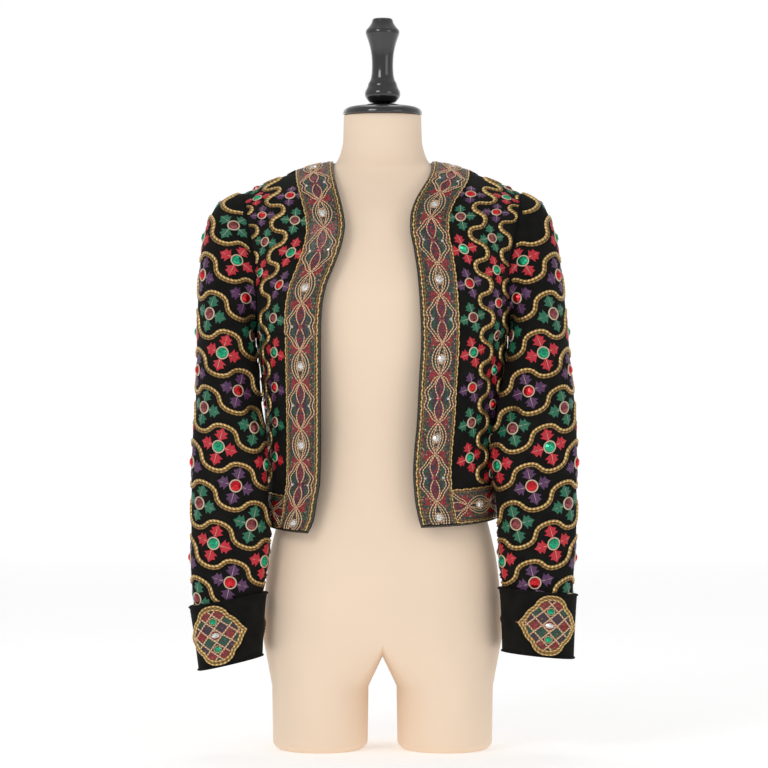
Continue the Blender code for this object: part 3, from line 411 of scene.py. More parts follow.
def body_point(height, share, face):
    """Point of the body's surface on the +X side. share is the sine of the arc's turn, 0 to 1."""
    half = read(BODY_RINGS, BODY_COLUMNS, "half_width", height)
    fall = read(BODY_RINGS, BODY_COLUMNS, "fall", height)
    depth = read(BODY_RINGS, BODY_COLUMNS, face, height)
    turn = np.radians(read(BODY_RINGS, BODY_COLUMNS, "turn", height))
    square = read(BODY_RINGS, BODY_COLUMNS, "square", height)
    side = height - fall
    armhole = ARMHOLE_FRONT if face == "front" else ARMHOLE_BACK
    towards = -1 if face == "front" else 1
    open_depth = armhole * armhole_reach(side) * (side > UNDERARM)
    side_y = ARMHOLE_Y + towards * (open_depth + SEAM / 2)
    far_y = towards * depth + (height >= SHOULDER_TOP - 1e-6) * side_y
    angle = share * turn
    power = 2 / square
    across = np.sin(angle) ** power / np.sin(turn) ** power
    level = np.clip(np.cos(angle), 0, 1) ** power
    bulge = (1 - level) / (1 - np.clip(np.cos(turn), 0, 1) ** power)
    x = half * across
    y = far_y + (side_y - far_y) * bulge
    z = height - fall * across ** 2
    return np.stack([x, y, z], -1)


def share_at(height, across):
    """Share of the turn at which the arc lies the given distance from the middle."""
    half = read(BODY_RINGS, BODY_COLUMNS, "half_width", height)
    turn = np.radians(read(BODY_RINGS, BODY_COLUMNS, "turn", height))
    square = read(BODY_RINGS, BODY_COLUMNS, "square", height)
    sine = np.clip(across / half, 0, 1) ** (square / 2) * np.sin(turn)
    return np.arcsin(np.clip(sine, 0, 1)) / turn


def ring_heights(low):
    """Heights of the body's rows: even up to the underarm, then even round the armhole."""
    below = np.linspace(0, 1, BODY_BELOW, endpoint=False)
    turn = np.linspace(0, math.pi, BODY_ABOVE + 1)
    middle = (ARMHOLE_TIP + UNDERARM) / 2
    half = (ARMHOLE_TIP - UNDERARM) / 2
    sides = middle - half * np.cos(turn)
    fine = np.linspace(UNDERARM, SHOULDER_TOP, 400)
    fine_sides = fine - read(BODY_RINGS, BODY_COLUMNS, "fall", fine)
    above = np.interp(sides, fine_sides, fine)
    lower = low + (UNDERARM - low) * below
    return np.concatenate([lower, above])


class Cloth:
    """A surface given by a grid of points, measured across and along like the cut piece."""

    def __init__(self, points, middle, outward, folds=(), closed=False):
        self.points = points
        rows = len(points)
        steps = np.linalg.norm(np.diff(points, axis=1), axis=2)
        across = np.concatenate([np.zeros((rows, 1)), np.cumsum(steps, 1)], 1)
        self.across = across - across[:, middle:middle + 1]
        lengths = np.linalg.norm(np.diff(points[:, middle], axis=0), axis=1)
        self.along = np.concatenate([[0], np.cumsum(lengths)])
        over = np.gradient(points, axis=1)
        up = np.gradient(points, axis=0)
        normal = np.cross(over, up)
        normal /= np.maximum(np.linalg.norm(normal, axis=2, keepdims=True), 1e-12)
        self.normal = normal * outward
        if closed:
            seam = self.normal[:, 0] + self.normal[:, -1]
            seam /= np.linalg.norm(seam, axis=1, keepdims=True)
            self.normal[:, 0] = self.normal[:, -1] = seam
        self.fold_in(folds)
        if closed:
            self.points[:, -1] = self.points[:, 0]

    def fold_in(self, folds):
        """Presses the piece's folds into its points."""
        along = np.broadcast_to(self.along[:, None], self.across.shape)
        depth = np.zeros_like(self.across)
        for row in folds:
            fold = dict(zip(FOLD_COLUMNS, row))
            a = self.across - fold["across"]
            b = along - fold["along"]
            turn = math.atan(fold["lean"])
            off = a * math.cos(turn) - b * math.sin(turn)
            run = a * math.sin(turn) + b * math.cos(turn)
            far = (off / fold["width"]) ** 2 + (run / fold["length"]) ** 2
            depth += fold["depth"] * np.exp(-far)
        self.points = self.points - self.normal * depth[..., None]

    def row_at(self, along):
        return float(np.interp(along, self.along, np.arange(len(self.along))))

    def place(self, across, along, lift=0.0):
        """The point at a place on the cloth, moved out by lift."""
        row = self.row_at(along)
        low = min(int(row), len(self.along) - 2)
        part = row - low
        found = []
        for i in (low, low + 1):
            column = float(np.interp(across, self.across[i], np.arange(self.across.shape[1])))
            j = min(int(column), self.across.shape[1] - 2)
            t = column - j
            grid = self.points[i] + self.normal[i] * lift
            found.append(grid[j] * (1 - t) + grid[j + 1] * t)
        return found[0] * (1 - part) + found[1] * part

    def along_at_height(self, height):
        """Distance along the piece's middle line at which it has a height."""
        middle = int(np.argmin(np.abs(self.across[0])))
        heights = self.points[:, middle, 2]
        if heights[0] > heights[-1]:
            return float(np.interp(-height, -heights, self.along))
        return float(np.interp(height, heights, self.along))


def square_to_seam(normals):
    """Makes a wall's end at a shoulder or side seam stand square to it."""
    normals *= np.array((1.0, 0.0, 1.0))
    normals /= np.linalg.norm(normals, axis=-1, keepdims=True)


def front_cloth(side):
    """Surface of one front, from its open edge to the side seam and armhole."""
    mirror = -1 if side == "right" else 1
    columns = np.linspace(0, 1, FRONT_COLUMNS[-1] + 1)
    hem = HEM_AT_EDGE[side] + (HEM_AT_SIDE[side] - HEM_AT_EDGE[side]) * columns ** 1.5
    heights = np.stack([ring_heights(low) for low in hem], 1)
    edge = read(EDGES[side], EDGE_COLUMNS, "across", heights)
    start = share_at(heights, edge)
    share = start + (1 - start) * columns[None, :]
    points = body_point(heights, share, "front")
    points[..., 0] *= mirror
    cloth = Cloth(points, 0, 1 if mirror > 0 else -1, FOLDS["front"])
    square_to_seam(cloth.normal[-1])
    square_to_seam(cloth.normal[:BODY_BELOW + 1, -1])
    return cloth


def back_cloth():
    """Surface of the back, from one side seam over the middle to the other."""
    share = np.linspace(-1, 1, BACK_COLUMNS[-1] + 1)
    out = np.abs(share)
    side = np.where(share < 0, HEM_AT_SIDE["right"], HEM_AT_SIDE["left"])
    hem = HEM_AT_BACK + (side - HEM_AT_BACK) * out ** 2
    heights = np.stack([ring_heights(low) for low in hem], 1)
    neck = float(share_at(SHOULDER_TOP, NECK_HALF))
    dip = BACK_NECK_DIP * np.clip(1 - (out / neck) ** 2, 0, 1)
    limit = SHOULDER_TOP - dip
    heights = hem + (heights - hem) * (limit - hem) / (SHOULDER_TOP - hem)
    points = body_point(heights, np.broadcast_to(out, heights.shape), "back")
    points[..., 0] *= np.where(share < 0, -1, 1)
    cloth = Cloth(points, BACK_COLUMNS[-1] // 2, -1, FOLDS["back"])
    first = int(np.argmax(out <= neck))
    square_to_seam(cloth.normal[-1, :first])
    square_to_seam(cloth.normal[-1, -first:])
    for column in (0, -1):
        square_to_seam(cloth.normal[:BODY_BELOW + 1, column])
    return cloth


def ring_clear(points, height, half, front, back, square, gap):
    """Moves points that lie inside a ring, widened by gap, straight out to it."""
    depth = np.where(points[..., 1] < 0, front, back) + gap
    reach = (np.abs(points[..., 0]) / (half + gap)) ** square
    reach = reach + (np.abs(points[..., 1]) / depth) ** square
    inside = (reach < 1) & height
    push = np.where(inside, np.maximum(reach, 1e-6) ** (-1 / square), 1.0)
    moved = points.copy()
    moved[..., 0] *= push
    moved[..., 1] *= push
    return moved


def rest_beside(points):
    """Sets a sleeve's points just clear of the jacket's body and of the form."""
    z = points[..., 2]
    for rows, columns, zone, gap in (
        (BODY_RINGS, BODY_COLUMNS, (z < UNDERARM - 0.004) & (z > 0.285), BODY_EASE),
        (FORM_RINGS, FORM_COLUMNS, z < 0.32, FORM_EASE),
    ):
        half = read(rows, columns, "half_width", z)
        front = read(rows, columns, "front", z)
        back = read(rows, columns, "back", z)
        square = read(rows, columns, "square", z)
        points = ring_clear(points, zone, half, front, back, square, gap)
    return points


def unroll(cloth):
    """Lays a sleeve flat: the distance down each column, and the width along each level."""
    falls = np.linalg.norm(np.diff(cloth.points, axis=0), axis=2)
    run = np.concatenate([np.zeros((1, falls.shape[1])), np.cumsum(falls, 0)])
    cloth.down = run - run[CAP_ROWS] + cloth.along[CAP_ROWS]
    cloth.levels = np.arange(0, cloth.down.max(), LEVEL_STEP)
    columns = np.arange(ROUND + 1)
    every = np.arange(len(cloth.down))
    cloth.wide = np.empty((len(cloth.levels), ROUND + 1))
    for i, level in enumerate(cloth.levels):
        rows = np.array([np.interp(level, cloth.down[:, j], every) for j in columns])
        line = value_at(cloth.points, rows, columns)
        steps = np.linalg.norm(np.diff(line, axis=0), axis=1)
        cloth.wide[i] = np.concatenate([[0], np.cumsum(steps)])
    cloth.wide -= cloth.wide[:, ROUND // 2:ROUND // 2 + 1].copy()


def look_up(table, at, wanted):
    """Where the wanted values lie in the rows of a table, between its rows as well."""
    low = np.clip(at.astype(int), 0, len(table) - 2)
    part = at - low
    found = np.empty(len(at))
    every = np.arange(table.shape[1])
    for row in np.unique(low):
        chosen = low == row
        first = np.interp(wanted[chosen], table[row], every)
        second = np.interp(wanted[chosen], table[row + 1], every)
        found[chosen] = first * (1 - part[chosen]) + second * part[chosen]
    return found


def find_spots(cloth, across, down):
    """Rows and columns of a sleeve's grid at places on its flat cut."""
    level = np.interp(down, cloth.levels, np.arange(len(cloth.levels)))
    columns = look_up(cloth.wide, level, across)
    return look_up(cloth.down.T, columns, down), columns


def from_armhole(cloth, columns, down):
    """How far below the armhole's seam places on a sleeve's flat cut lie."""
    return down - np.interp(columns, np.arange(ROUND + 1), cloth.down[0])


def value_at(table, rows, columns):
    """Values of a grid at places between its rows and columns."""
    i = np.clip(rows.astype(int), 0, table.shape[0] - 2)
    j = np.clip(columns.astype(int), 0, table.shape[1] - 2)
    t, u = rows - i, columns - j
    if table.ndim == 3:
        t, u = t[:, None], u[:, None]
    upper = table[i, j] * (1 - u) + table[i, j + 1] * u
    lower = table[i + 1, j] * (1 - u) + table[i + 1, j + 1] * u
    return upper * (1 - t) + lower * t


def sleeve_ring(side, height, angle):
    """Point of a sleeve's ring; angle 0 is the outer side and a quarter turn the front."""
    rows = SLEEVES[side]
    outer = read(rows, SLEEVE_COLUMNS, "outer", height)
    inner = read(rows, SLEEVE_COLUMNS, "inner", height)
    front = read(rows, SLEEVE_COLUMNS, "front", height)
    back = read(rows, SLEEVE_COLUMNS, "back", height)
    x = (outer + inner) / 2 + (outer - inner) / 2 * np.cos(angle)
    y = -(front + back) / 2 - (front - back) / 2 * np.sin(angle)
    return np.stack([x, y, np.broadcast_to(height, x.shape)], -1)


def armhole_point(angle):
    """Point of the armhole's edge; angle 0 is the shoulder tip and a quarter turn the front."""
    middle = (ARMHOLE_TIP + UNDERARM) / 2
    half = (ARMHOLE_TIP - UNDERARM) / 2
    side = middle + half * np.cos(angle)
    fine = np.linspace(UNDERARM, SHOULDER_TOP, 400)
    fine_sides = fine - read(BODY_RINGS, BODY_COLUMNS, "fall", fine)
    height = np.interp(side, fine_sides, fine)
    x = read(BODY_RINGS, BODY_COLUMNS, "half_width", height)
    reach = np.where(np.sin(angle) > 0, ARMHOLE_FRONT, ARMHOLE_BACK)
    y = ARMHOLE_Y - reach * np.sin(angle)
    return np.stack([x, y, side], -1)


def sleeve_cloth(side):
    """Surface of a sleeve from the armhole to its foot, opened at the seam under the arm."""
    angle = np.linspace(-math.pi, math.pi, ROUND + 1)
    start = armhole_point(angle)
    start[:, 0] += SEAM * 1.5
    end = sleeve_ring(side, np.full(angle.shape, CAP_END), angle)
    out = (1 + np.cos(angle)) / 2
    reach = CAP_REACH[side] * (0.12 + 0.88 * out)
    leave = np.stack([reach, 0 * out, -0.003 - 0.004 * (1 - out)], -1)
    rise = (start[:, 2] - CAP_END) * 0.74
    arrive = np.stack([-CAP_LEAN[side] * out, 0 * out, rise], -1)
    t = np.linspace(0, 1, CAP_ROWS + 1)[:, None, None]
    cap = ((1 - t) ** 3 * start + 3 * t * (1 - t) ** 2 * (start + leave)
           + 3 * t * t * (1 - t) * (end + arrive) + t ** 3 * end)
    foot = CUFF_FOOT[side] + CUFF_TILT[side] * np.cos(angle)
    part = np.linspace(0, 1, ARM_ROWS + 1)[1:, None]
    height = CAP_END + (foot[None, :] - CAP_END) * part
    rings = sleeve_ring(side, height, np.broadcast_to(angle, height.shape))
    points = np.concatenate([cap, rings], 0)
    points = np.concatenate([points[:1], rest_beside(points[1:])], 0)
    mirror = -1 if side == "right" else 1
    points[..., 0] *= mirror
    cloth = Cloth(points, ROUND // 2, mirror, FOLDS["sleeve"], closed=True)
    unroll(cloth)
    return cloth


def cuff_cloth(side):
    """Surface of a turned-back cuff: round the sleeve's foot, flaring towards its top edge."""
    sleeve = sleeve_cloth(side)
    height = sleeve.points[..., 2]
    foot = height[-1]
    rows = np.linspace(0, 1, CUFF_STEPS + 1)
    lift = SEAM * 1.5 + CUFF_FLARE * rows ** 1.4
    points = np.empty((len(rows), foot.size, 3))
    for j in range(foot.size):
        wanted = foot[j] + CUFF_HEIGHT * rows
        order = np.argsort(height[CAP_ROWS:, j])
        column = sleeve.points[CAP_ROWS:, j][order]
        normal = sleeve.normal[CAP_ROWS:, j][order]
        for k in range(3):
            base = np.interp(wanted, column[:, 2], column[:, k])
            out = np.interp(wanted, column[:, 2], normal[:, k])
            points[:, j, k] = base + out * lift
    outward = 1 if side == "right" else -1
    return Cloth(points, ROUND // 2, outward, closed=True)


def medallion_outline():
    """Quatrefoil: round lobes above and below, pointed ogee lobes at the sides."""
    places = []
    half_width, half_height = MEDALLION_WIDTH / 2, MEDALLION_HEIGHT / 2
    quarter = (
        (1.00, 0.00),
        (0.84, 0.20),
        (0.74, 0.42),
        (0.60, 0.56),
        (0.52, 0.62),
        (0.44, 0.82),
        (0.24, 0.97),
        (0.00, 1.00),
    )
    for sign_x, sign_y, run in ((1, 1, 1), (-1, 1, -1), (-1, -1, 1), (1, -1, -1)):
        part = quarter[::run]
        for x, y in part[:-1]:
            places.append((x * half_width * sign_x, y * half_height * sign_y))
    return places


class Fabric:
    def __init__(self, name, cloth, base=0.0):
        self.name = name
        self.cloth = cloth
        self.base = base

    def carry(self, flat):
        """Points of the surface for rows of (across, along, lift)."""
        flat = np.asarray(flat, float)
        rows, columns = self.spots(flat[:, 0], flat[:, 1])
        out = value_at(self.cloth.normal, rows, columns)
        lift = (flat[:, 2] + self.base)[:, None]
        return value_at(self.cloth.points, rows, columns) + out * lift + np.array(STAND_AT)

    def spots(self, across, along):
        """Rows and columns of the surface's grid at places on the cut piece."""
        if hasattr(self.cloth, "wide"):
            return find_spots(self.cloth, across, along)
        rows = np.interp(along, self.cloth.along, np.arange(len(self.cloth.along)))
        return rows, look_up(self.cloth.across, rows, across)

    def limits(self, along):
        """Lowest and highest distance across at each distance along."""
        cloth = self.cloth
        rows = np.interp(along, cloth.along, np.arange(len(cloth.along)))
        every = np.arange(len(cloth.along))
        return np.interp(rows, every, cloth.across[:, 0]), np.interp(rows, every, cloth.across[:, -1])


class Sewn:
    """Collects the meshes of one kind of trimming, and makes one object of them."""

    def __init__(self, name, finish, slot=None, smooth=True):
        self.name = name
        self.finish = finish
        self.slot = slot
        self.smooth = smooth
        self.vertices = []
        self.faces = []
        self.marks = []
        self.count = 0

    def add(self, points, faces, marks=None):
        points = np.asarray(points, float)
        faces = np.asarray(faces, int)
        if not len(points) or not len(faces):
            return
        self.vertices.append(points)
        self.faces.append((faces + self.count).tolist())
        self.marks.append(np.zeros((len(points), 2)) if marks is None else np.asarray(marks, float))
        self.count += len(points)

    def make(self):
        vertices = np.concatenate(self.vertices)
        marks = np.concatenate(self.marks)
        faces = [face for group in self.faces for face in group]
        mesh = bpy.data.meshes.new(self.name)
        mesh.from_pydata(vertices.tolist(), [], faces)
        layer = mesh.uv_layers.new(name="run")
        corners = np.empty(len(mesh.loops), int)
        mesh.loops.foreach_get("vertex_index", corners)
        layer.data.foreach_set("uv", marks[corners].ravel())
        mesh.polygons.foreach_set("use_smooth", np.full(len(mesh.polygons), self.smooth))
        mesh.update()
        item = bpy.data.objects.new(self.name, mesh)
        bpy.context.scene.collection.objects.link(item)
        mesh.materials.append(finish(self.finish))
        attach(item, "root")
        return item


def even_path(path, step, closed=False):
    """The path's points at even steps."""
    path = np.asarray(path, float)
    if closed:
        path = np.concatenate([path, path[:1]])
    lengths = np.linalg.norm(np.diff(path, axis=0), axis=1)
    run = np.concatenate([[0], np.cumsum(lengths)])
    count = max(int(run[-1] / step), 2)
    at = np.linspace(0, run[-1], count + 1)
    return np.stack([np.interp(at, run, path[:, 0]), np.interp(at, run, path[:, 1])], 1), at


def round_off(path, times=2):
    """Cuts a path's corners, so that it bends smoothly."""
    path = np.asarray(path, float)
    for _ in range(times):
        near = path[:-1] * 0.75 + path[1:] * 0.25
        far = path[:-1] * 0.25 + path[1:] * 0.75
        inner = np.empty((2 * len(near), 2))
        inner[0::2], inner[1::2] = near, far
        path = np.concatenate([path[:1], inner, path[-1:]])
    return path


def long_runs(held, fewest):
    """Keeps only the stretches of a line that are at least so many points long."""
    edges = np.flatnonzero(np.diff(np.concatenate([[0], held.astype(int), [0]])))
    kept = held.copy()
    for first, last in zip(edges[::2], edges[1::2]):
        if last - first < fewest:
            kept[first:last] = False
    return kept


def lay_cord(sewn, fabric, path, radius, lift, keep=None, beside=0.0, step=0.0022, sides=5, twist=0.003):
    """Lays a half-round cord along a path on a fabric, leaving out what keep says no to."""
    points, run = even_path(path, step)
    along = np.gradient(points, axis=0)
    along /= np.maximum(np.linalg.norm(along, axis=1, keepdims=True), 1e-9)
    aside = np.stack([-along[:, 1], along[:, 0]], 1)
    points = points + aside * beside
    held = np.ones(len(points), bool)
    if keep is not None:
        held = long_runs(keep(points[:, 0], points[:, 1]), int(SHORTEST_CORD / step))
    turn = np.linspace(0, math.pi, sides)
    flat = np.empty((len(points), sides, 3))
    flat[..., :2] = points[:, None] + aside[:, None] * (np.cos(turn) * radius)[None, :, None]
    flat[..., 2] = lift + 1.25 * radius * np.sin(turn)[None, :]
    marks = np.empty((len(points), sides, 2))
    marks[..., 0] = (run / twist)[:, None]
    marks[..., 1] = (turn / math.pi)[None, :]
    faces = []
    pairs = np.nonzero(held[:-1] & held[1:])[0]
    if not len(pairs):
        return
    number = np.cumsum(held) - 1
    for i in number[pairs]:
        for k in range(sides - 1):
            a = i * sides + k
            faces.append((a, a + sides, a + sides + 1, a + 1))
    sewn.add(fabric.carry(flat[held].reshape(-1, 3)), faces, marks[held].reshape(-1, 2))


def lay_dome(sewn, fabric, places, radius, rise, sides, lift=0.0, table=0.45, squash=1.0, turn=0.0):
    """Lays faceted stones or smooth beads: a girdle, a ring above it and a flat or pointed top."""
    places = np.asarray(places, float).reshape(-1, 2)
    if not len(places):
        return
    angle = np.arange(sides) * 2 * math.pi / sides + turn
    rings = ((1.0, 0.0), (1.0, 0.35), (table, 1.0)) if table > 0 else ((1.0, 0.0), (0.75, 0.72))
    shape = [np.stack([np.cos(angle) * radius * r, np.sin(angle) * radius * r * squash,
                       np.full(sides, lift + rise * h)], 1) for r, h in rings]
    shape.append(np.array([[0.0, 0.0, lift + rise]]))
    shape = np.concatenate(shape)
    faces = []
    for ring in range(len(rings) - 1):
        for k in range(sides):
            n = (k + 1) % sides
            faces.append((ring * sides + k, ring * sides + n, (ring + 1) * sides + n))
            faces.append((ring * sides + k, (ring + 1) * sides + n, (ring + 1) * sides + k))
    last = (len(rings) - 1) * sides
    tip = last + sides
    faces += [(last + k, last + (k + 1) % sides, tip) for k in range(sides)]
    flat = np.tile(shape, (len(places), 1, 1))
    flat[..., :2] += places[:, None]
    starts = np.arange(len(places)) * len(shape)
    all_faces = (np.array(faces)[None] + starts[:, None, None]).reshape(-1, 3)
    sewn.add(fabric.carry(flat.reshape(-1, 3)), all_faces)


def lay_beads(sewn, fabric, places, radius, lift, sides=5):
    """Lays many small beads as low pointed domes, shaded smooth."""
    places = np.asarray(places, float).reshape(-1, 2)
    if not len(places):
        return
    angle = np.arange(sides) * 2 * math.pi / sides
    shape = np.stack([np.cos(angle) * radius, np.sin(angle) * radius, np.full(sides, lift)], 1)
    shape = np.concatenate([shape, [[0.0, 0.0, lift + radius * 0.85]]])
    faces = np.array([(k, (k + 1) % sides, sides) for k in range(sides)])
    flat = np.tile(shape, (len(places), 1, 1))
    flat[..., :2] += places[:, None]
    starts = np.arange(len(places)) * len(shape)
    all_faces = (faces[None] + starts[:, None, None]).reshape(-1, 3)
    sewn.add(fabric.carry(flat.reshape(-1, 3)), all_faces)


def lay_ring(sewn, fabric, places, radius, tube, lift, squash=1.0):
    """Lays rings of thread round the stones."""
    places = np.asarray(places, float).reshape(-1, 2)
    if not len(places):
        return
    around, sides = 18, 4
    turns = np.arange(around) * 2 * math.pi / around
    cross = np.linspace(0, math.pi, sides)
    reach = radius + tube * np.cos(cross)
    ring = np.empty((around, sides, 3))
    ring[..., 0] = np.cos(turns)[:, None] * reach
    ring[..., 1] = np.sin(turns)[:, None] * reach * squash
    ring[..., 2] = lift + 1.3 * tube * np.sin(cross)
    marks = np.empty((around, sides, 2))
    marks[..., 0] = (turns * radius / 0.0018)[:, None]
    marks[..., 1] = cross / math.pi
    faces = []
    for i in range(around):
        for k in range(sides - 1):
            n = (i + 1) % around
            faces.append((i * sides + k, i * sides + k + 1, n * sides + k + 1, n * sides + k))
    flat = np.tile(ring.reshape(-1, 3), (len(places), 1, 1))
    flat[..., :2] += places[:, None]
    starts = np.arange(len(places)) * around * sides
    every = (np.array(faces)[None] + starts[:, None, None]).reshape(-1, 4)
    sewn.add(fabric.carry(flat.reshape(-1, 3)), every, np.tile(marks.reshape(-1, 2), (len(places), 1)))


def lay_petals(silk, veins, fabric, places, first_turn, length, width, start):
    """Lays four leaf-shaped petals round each place, with a pale vein along each."""
    half = np.array(PETAL_HALF)
    middle = np.stack([half[:, 0] * length, 0 * half[:, 0]], 1)
    side = np.stack([half[:, 0] * length, half[:, 1] * width / 2], 1)
    other = side * (1, -1)
    count = len(half)
    crown = 0.0011 * np.sin(np.clip(half[:, 0] * 0.9 + 0.1, 0, 1) * math.pi) + 0.0003
    flat = np.concatenate([side, middle, other])
    lifts = np.concatenate([np.full(count, 0.0002), crown, np.full(count, 0.0002)])
    faces = []
    for k in range(count - 1):
        faces.append((k, k + 1, count + k + 1, count + k))
        faces.append((count + k, count + k + 1, 2 * count + k + 1, 2 * count + k))
    marks = np.stack([flat[:, 0] / length, flat[:, 1] / width + 0.5], 1)
    vein = np.array([(0.10 * length, 0.0003), (0.80 * length, 0.0001), (0.80 * length, -0.0001),
                     (0.10 * length, -0.0003)])
    places = np.asarray(places, float).reshape(-1, 2)
    if not len(places):
        return
    leaves, lines = [], []
    for k in range(4):
        turn = first_turn + k * math.pi / 2
        c, s = math.cos(turn), math.sin(turn)
        spin = np.array([[c, s], [-s, c]])
        base = np.array([c, s]) * start
        leaves.append(np.column_stack([flat @ spin + base, lifts]))
        lines.append(np.column_stack([vein @ spin + base, np.full(4, 0.0016)]))
    for sewn, shapes, corners, runs in ((silk, leaves, faces, marks),
                                        (veins, lines, [(3, 2, 1, 0)], np.zeros((4, 2)))):
        shape = np.concatenate(shapes)
        size = len(shapes[0])
        four = (np.array(corners)[None] + (np.arange(4) * size)[:, None, None]).reshape(-1, 4)
        laid = np.tile(shape, (len(places), 1, 1))
        laid[..., :2] += places[:, None]
        starts = np.arange(len(places)) * len(shape)
        every = (four[None] + starts[:, None, None]).reshape(-1, 4)
        sewn.add(fabric.carry(laid.reshape(-1, 3)), every, np.tile(runs, (4 * len(places), 1)))


def shader_of(made):
    return made.node_tree.nodes["Principled BSDF"]


def bump_from(made, height, strength, distance):
    """Feeds a height into the shader's normal."""
    bump = made.node_tree.nodes.new("ShaderNodeBump")
    bump.inputs["Strength"].default_value = strength
    bump.inputs["Distance"].default_value = distance
    made.node_tree.links.new(height, bump.inputs["Height"])
    made.node_tree.links.new(bump.outputs["Normal"], shader_of(made).inputs["Normal"])


def noise(made, scale, detail=3.0, stretch=None):
    """A noise texture in the object's own metres."""
    tree = made.node_tree
    where = tree.nodes.new("ShaderNodeTexCoord")
    texture = tree.nodes.new("ShaderNodeTexNoise")
    texture.inputs["Scale"].default_value = scale
    texture.inputs["Detail"].default_value = detail
    if stretch:
        mapping = tree.nodes.new("ShaderNodeMapping")
        mapping.inputs["Scale"].default_value = stretch
        tree.links.new(where.outputs["Object"], mapping.inputs["Vector"])
        tree.links.new(mapping.outputs["Vector"], texture.inputs["Vector"])
    else:
        tree.links.new(where.outputs["Object"], texture.inputs["Vector"])
    return texture


def vary(made, texture, colour, spread):
    """Lets the base colour wander round its mean."""
    ramp = made.node_tree.nodes.new("ShaderNodeValToRGB")
    ramp.color_ramp.elements[0].position = 0.30
    ramp.color_ramp.elements[1].position = 0.70
    ramp.color_ramp.elements[0].color = (*[c * (1 - spread) for c in colour], 1)
    ramp.color_ramp.elements[1].color = (*[min(c * (1 + spread), 1) for c in colour], 1)
    made.node_tree.links.new(texture.outputs["Fac"], ramp.inputs["Fac"])
    made.node_tree.links.new(ramp.outputs["Color"], shader_of(made).inputs["Base Color"])


def finish(name):
    """The material of that name, with the relief of its kind and a base colour that varies round its
    mean; on cords, straps and silk the colour follows the relief's wave, darker in its grooves and
    lighter on its ridges, as painted shade and highlight.
    """
    made = bpy.data.materials.get("look_" + name)
    if made:
        return made
    colour, roughness, metallic, gloss = FINISHES[name]
    made = bpy.data.materials.new("look_" + name)
    made.use_nodes = True
    shader = shader_of(made)
    shader.inputs["Base Color"].default_value = (*colour, 1)
    shader.inputs["Roughness"].default_value = roughness
    shader.inputs["Metallic"].default_value = metallic
    if name == "velvet":
        shader.inputs["Sheen Weight"].default_value = gloss
        shader.inputs["Sheen Roughness"].default_value = 0.35
        shader.inputs["Specular IOR Level"].default_value = 0.20
        shader.inputs["Sheen Tint"].default_value = (0.30, 0.36, 0.32, 1)
        texture = noise(made, 900.0)
        vary(made, noise(made, 60.0), colour, 0.45)
        bump_from(made, texture.outputs["Fac"], 0.5, 0.0006)
    elif name.startswith(("cord", "strap")):
        run = made.node_tree.nodes.new("ShaderNodeUVMap")
        run.uv_map = "run"
        wave = made.node_tree.nodes.new("ShaderNodeTexWave")
        wave.bands_direction = "DIAGONAL"
        wave.inputs["Scale"].default_value = 0.35
        made.node_tree.links.new(run.outputs["UV"], wave.inputs["Vector"])
        # the colour follows the twist's wave: darker in its grooves as painted shade, lighter on its
        # ridges as painted highlight
        vary(made, wave, colour, 0.35)
        bump_from(made, wave.outputs["Fac"], 0.6, 0.0006)
    elif name.startswith("silk"):
        shader.inputs["Sheen Weight"].default_value = gloss
        run = made.node_tree.nodes.new("ShaderNodeUVMap")
        run.uv_map = "run"
        wave = made.node_tree.nodes.new("ShaderNodeTexWave")
        wave.bands_direction = "Y"
        wave.inputs["Scale"].default_value = 3.0
        wave.inputs["Distortion"].default_value = 2.5
        made.node_tree.links.new(run.outputs["UV"], wave.inputs["Vector"])
        # the colour follows the streaks' relief: lighter on the raised threads as painted sheen, darker
        # between them as painted shade
        vary(made, wave, colour, 0.40)
        bump_from(made, wave.outputs["Fac"], 0.5, 0.0005)
    elif name.startswith(("glass", "bead")):
        shader.inputs["Coat Weight"].default_value = gloss
        shader.inputs["Coat Roughness"].default_value = 0.05
        texture = noise(made, 420.0)
        vary(made, texture, colour, 0.65)
        bump_from(made, texture.outputs["Fac"], 0.12, 0.0004)
    elif name == "calico":
        shader.inputs["Sheen Weight"].default_value = gloss
        texture = noise(made, 1100.0, 4.0, (1.0, 1.0, 2.2))
        vary(made, noise(made, 9.0), colour, 0.02)
        bump_from(made, texture.outputs["Fac"], 0.14, 0.0004)
    elif name == "lacquer":
        shader.inputs["Coat Weight"].default_value = gloss
        shader.inputs["Coat Roughness"].default_value = 0.08
        texture = noise(made, 34.0, 2.0, (1.0, 1.0, 0.25))
        bump_from(made, texture.outputs["Fac"], 0.10, 0.0008)
    else:
        shader.inputs["Emission Color"].default_value = (1.0, 1.0, 1.0, 1)
        shader.inputs["Emission Strength"].default_value = gloss
        texture = noise(made, 240.0)
        bump_from(made, texture.outputs["Fac"], 0.05, 0.0004)
    return made


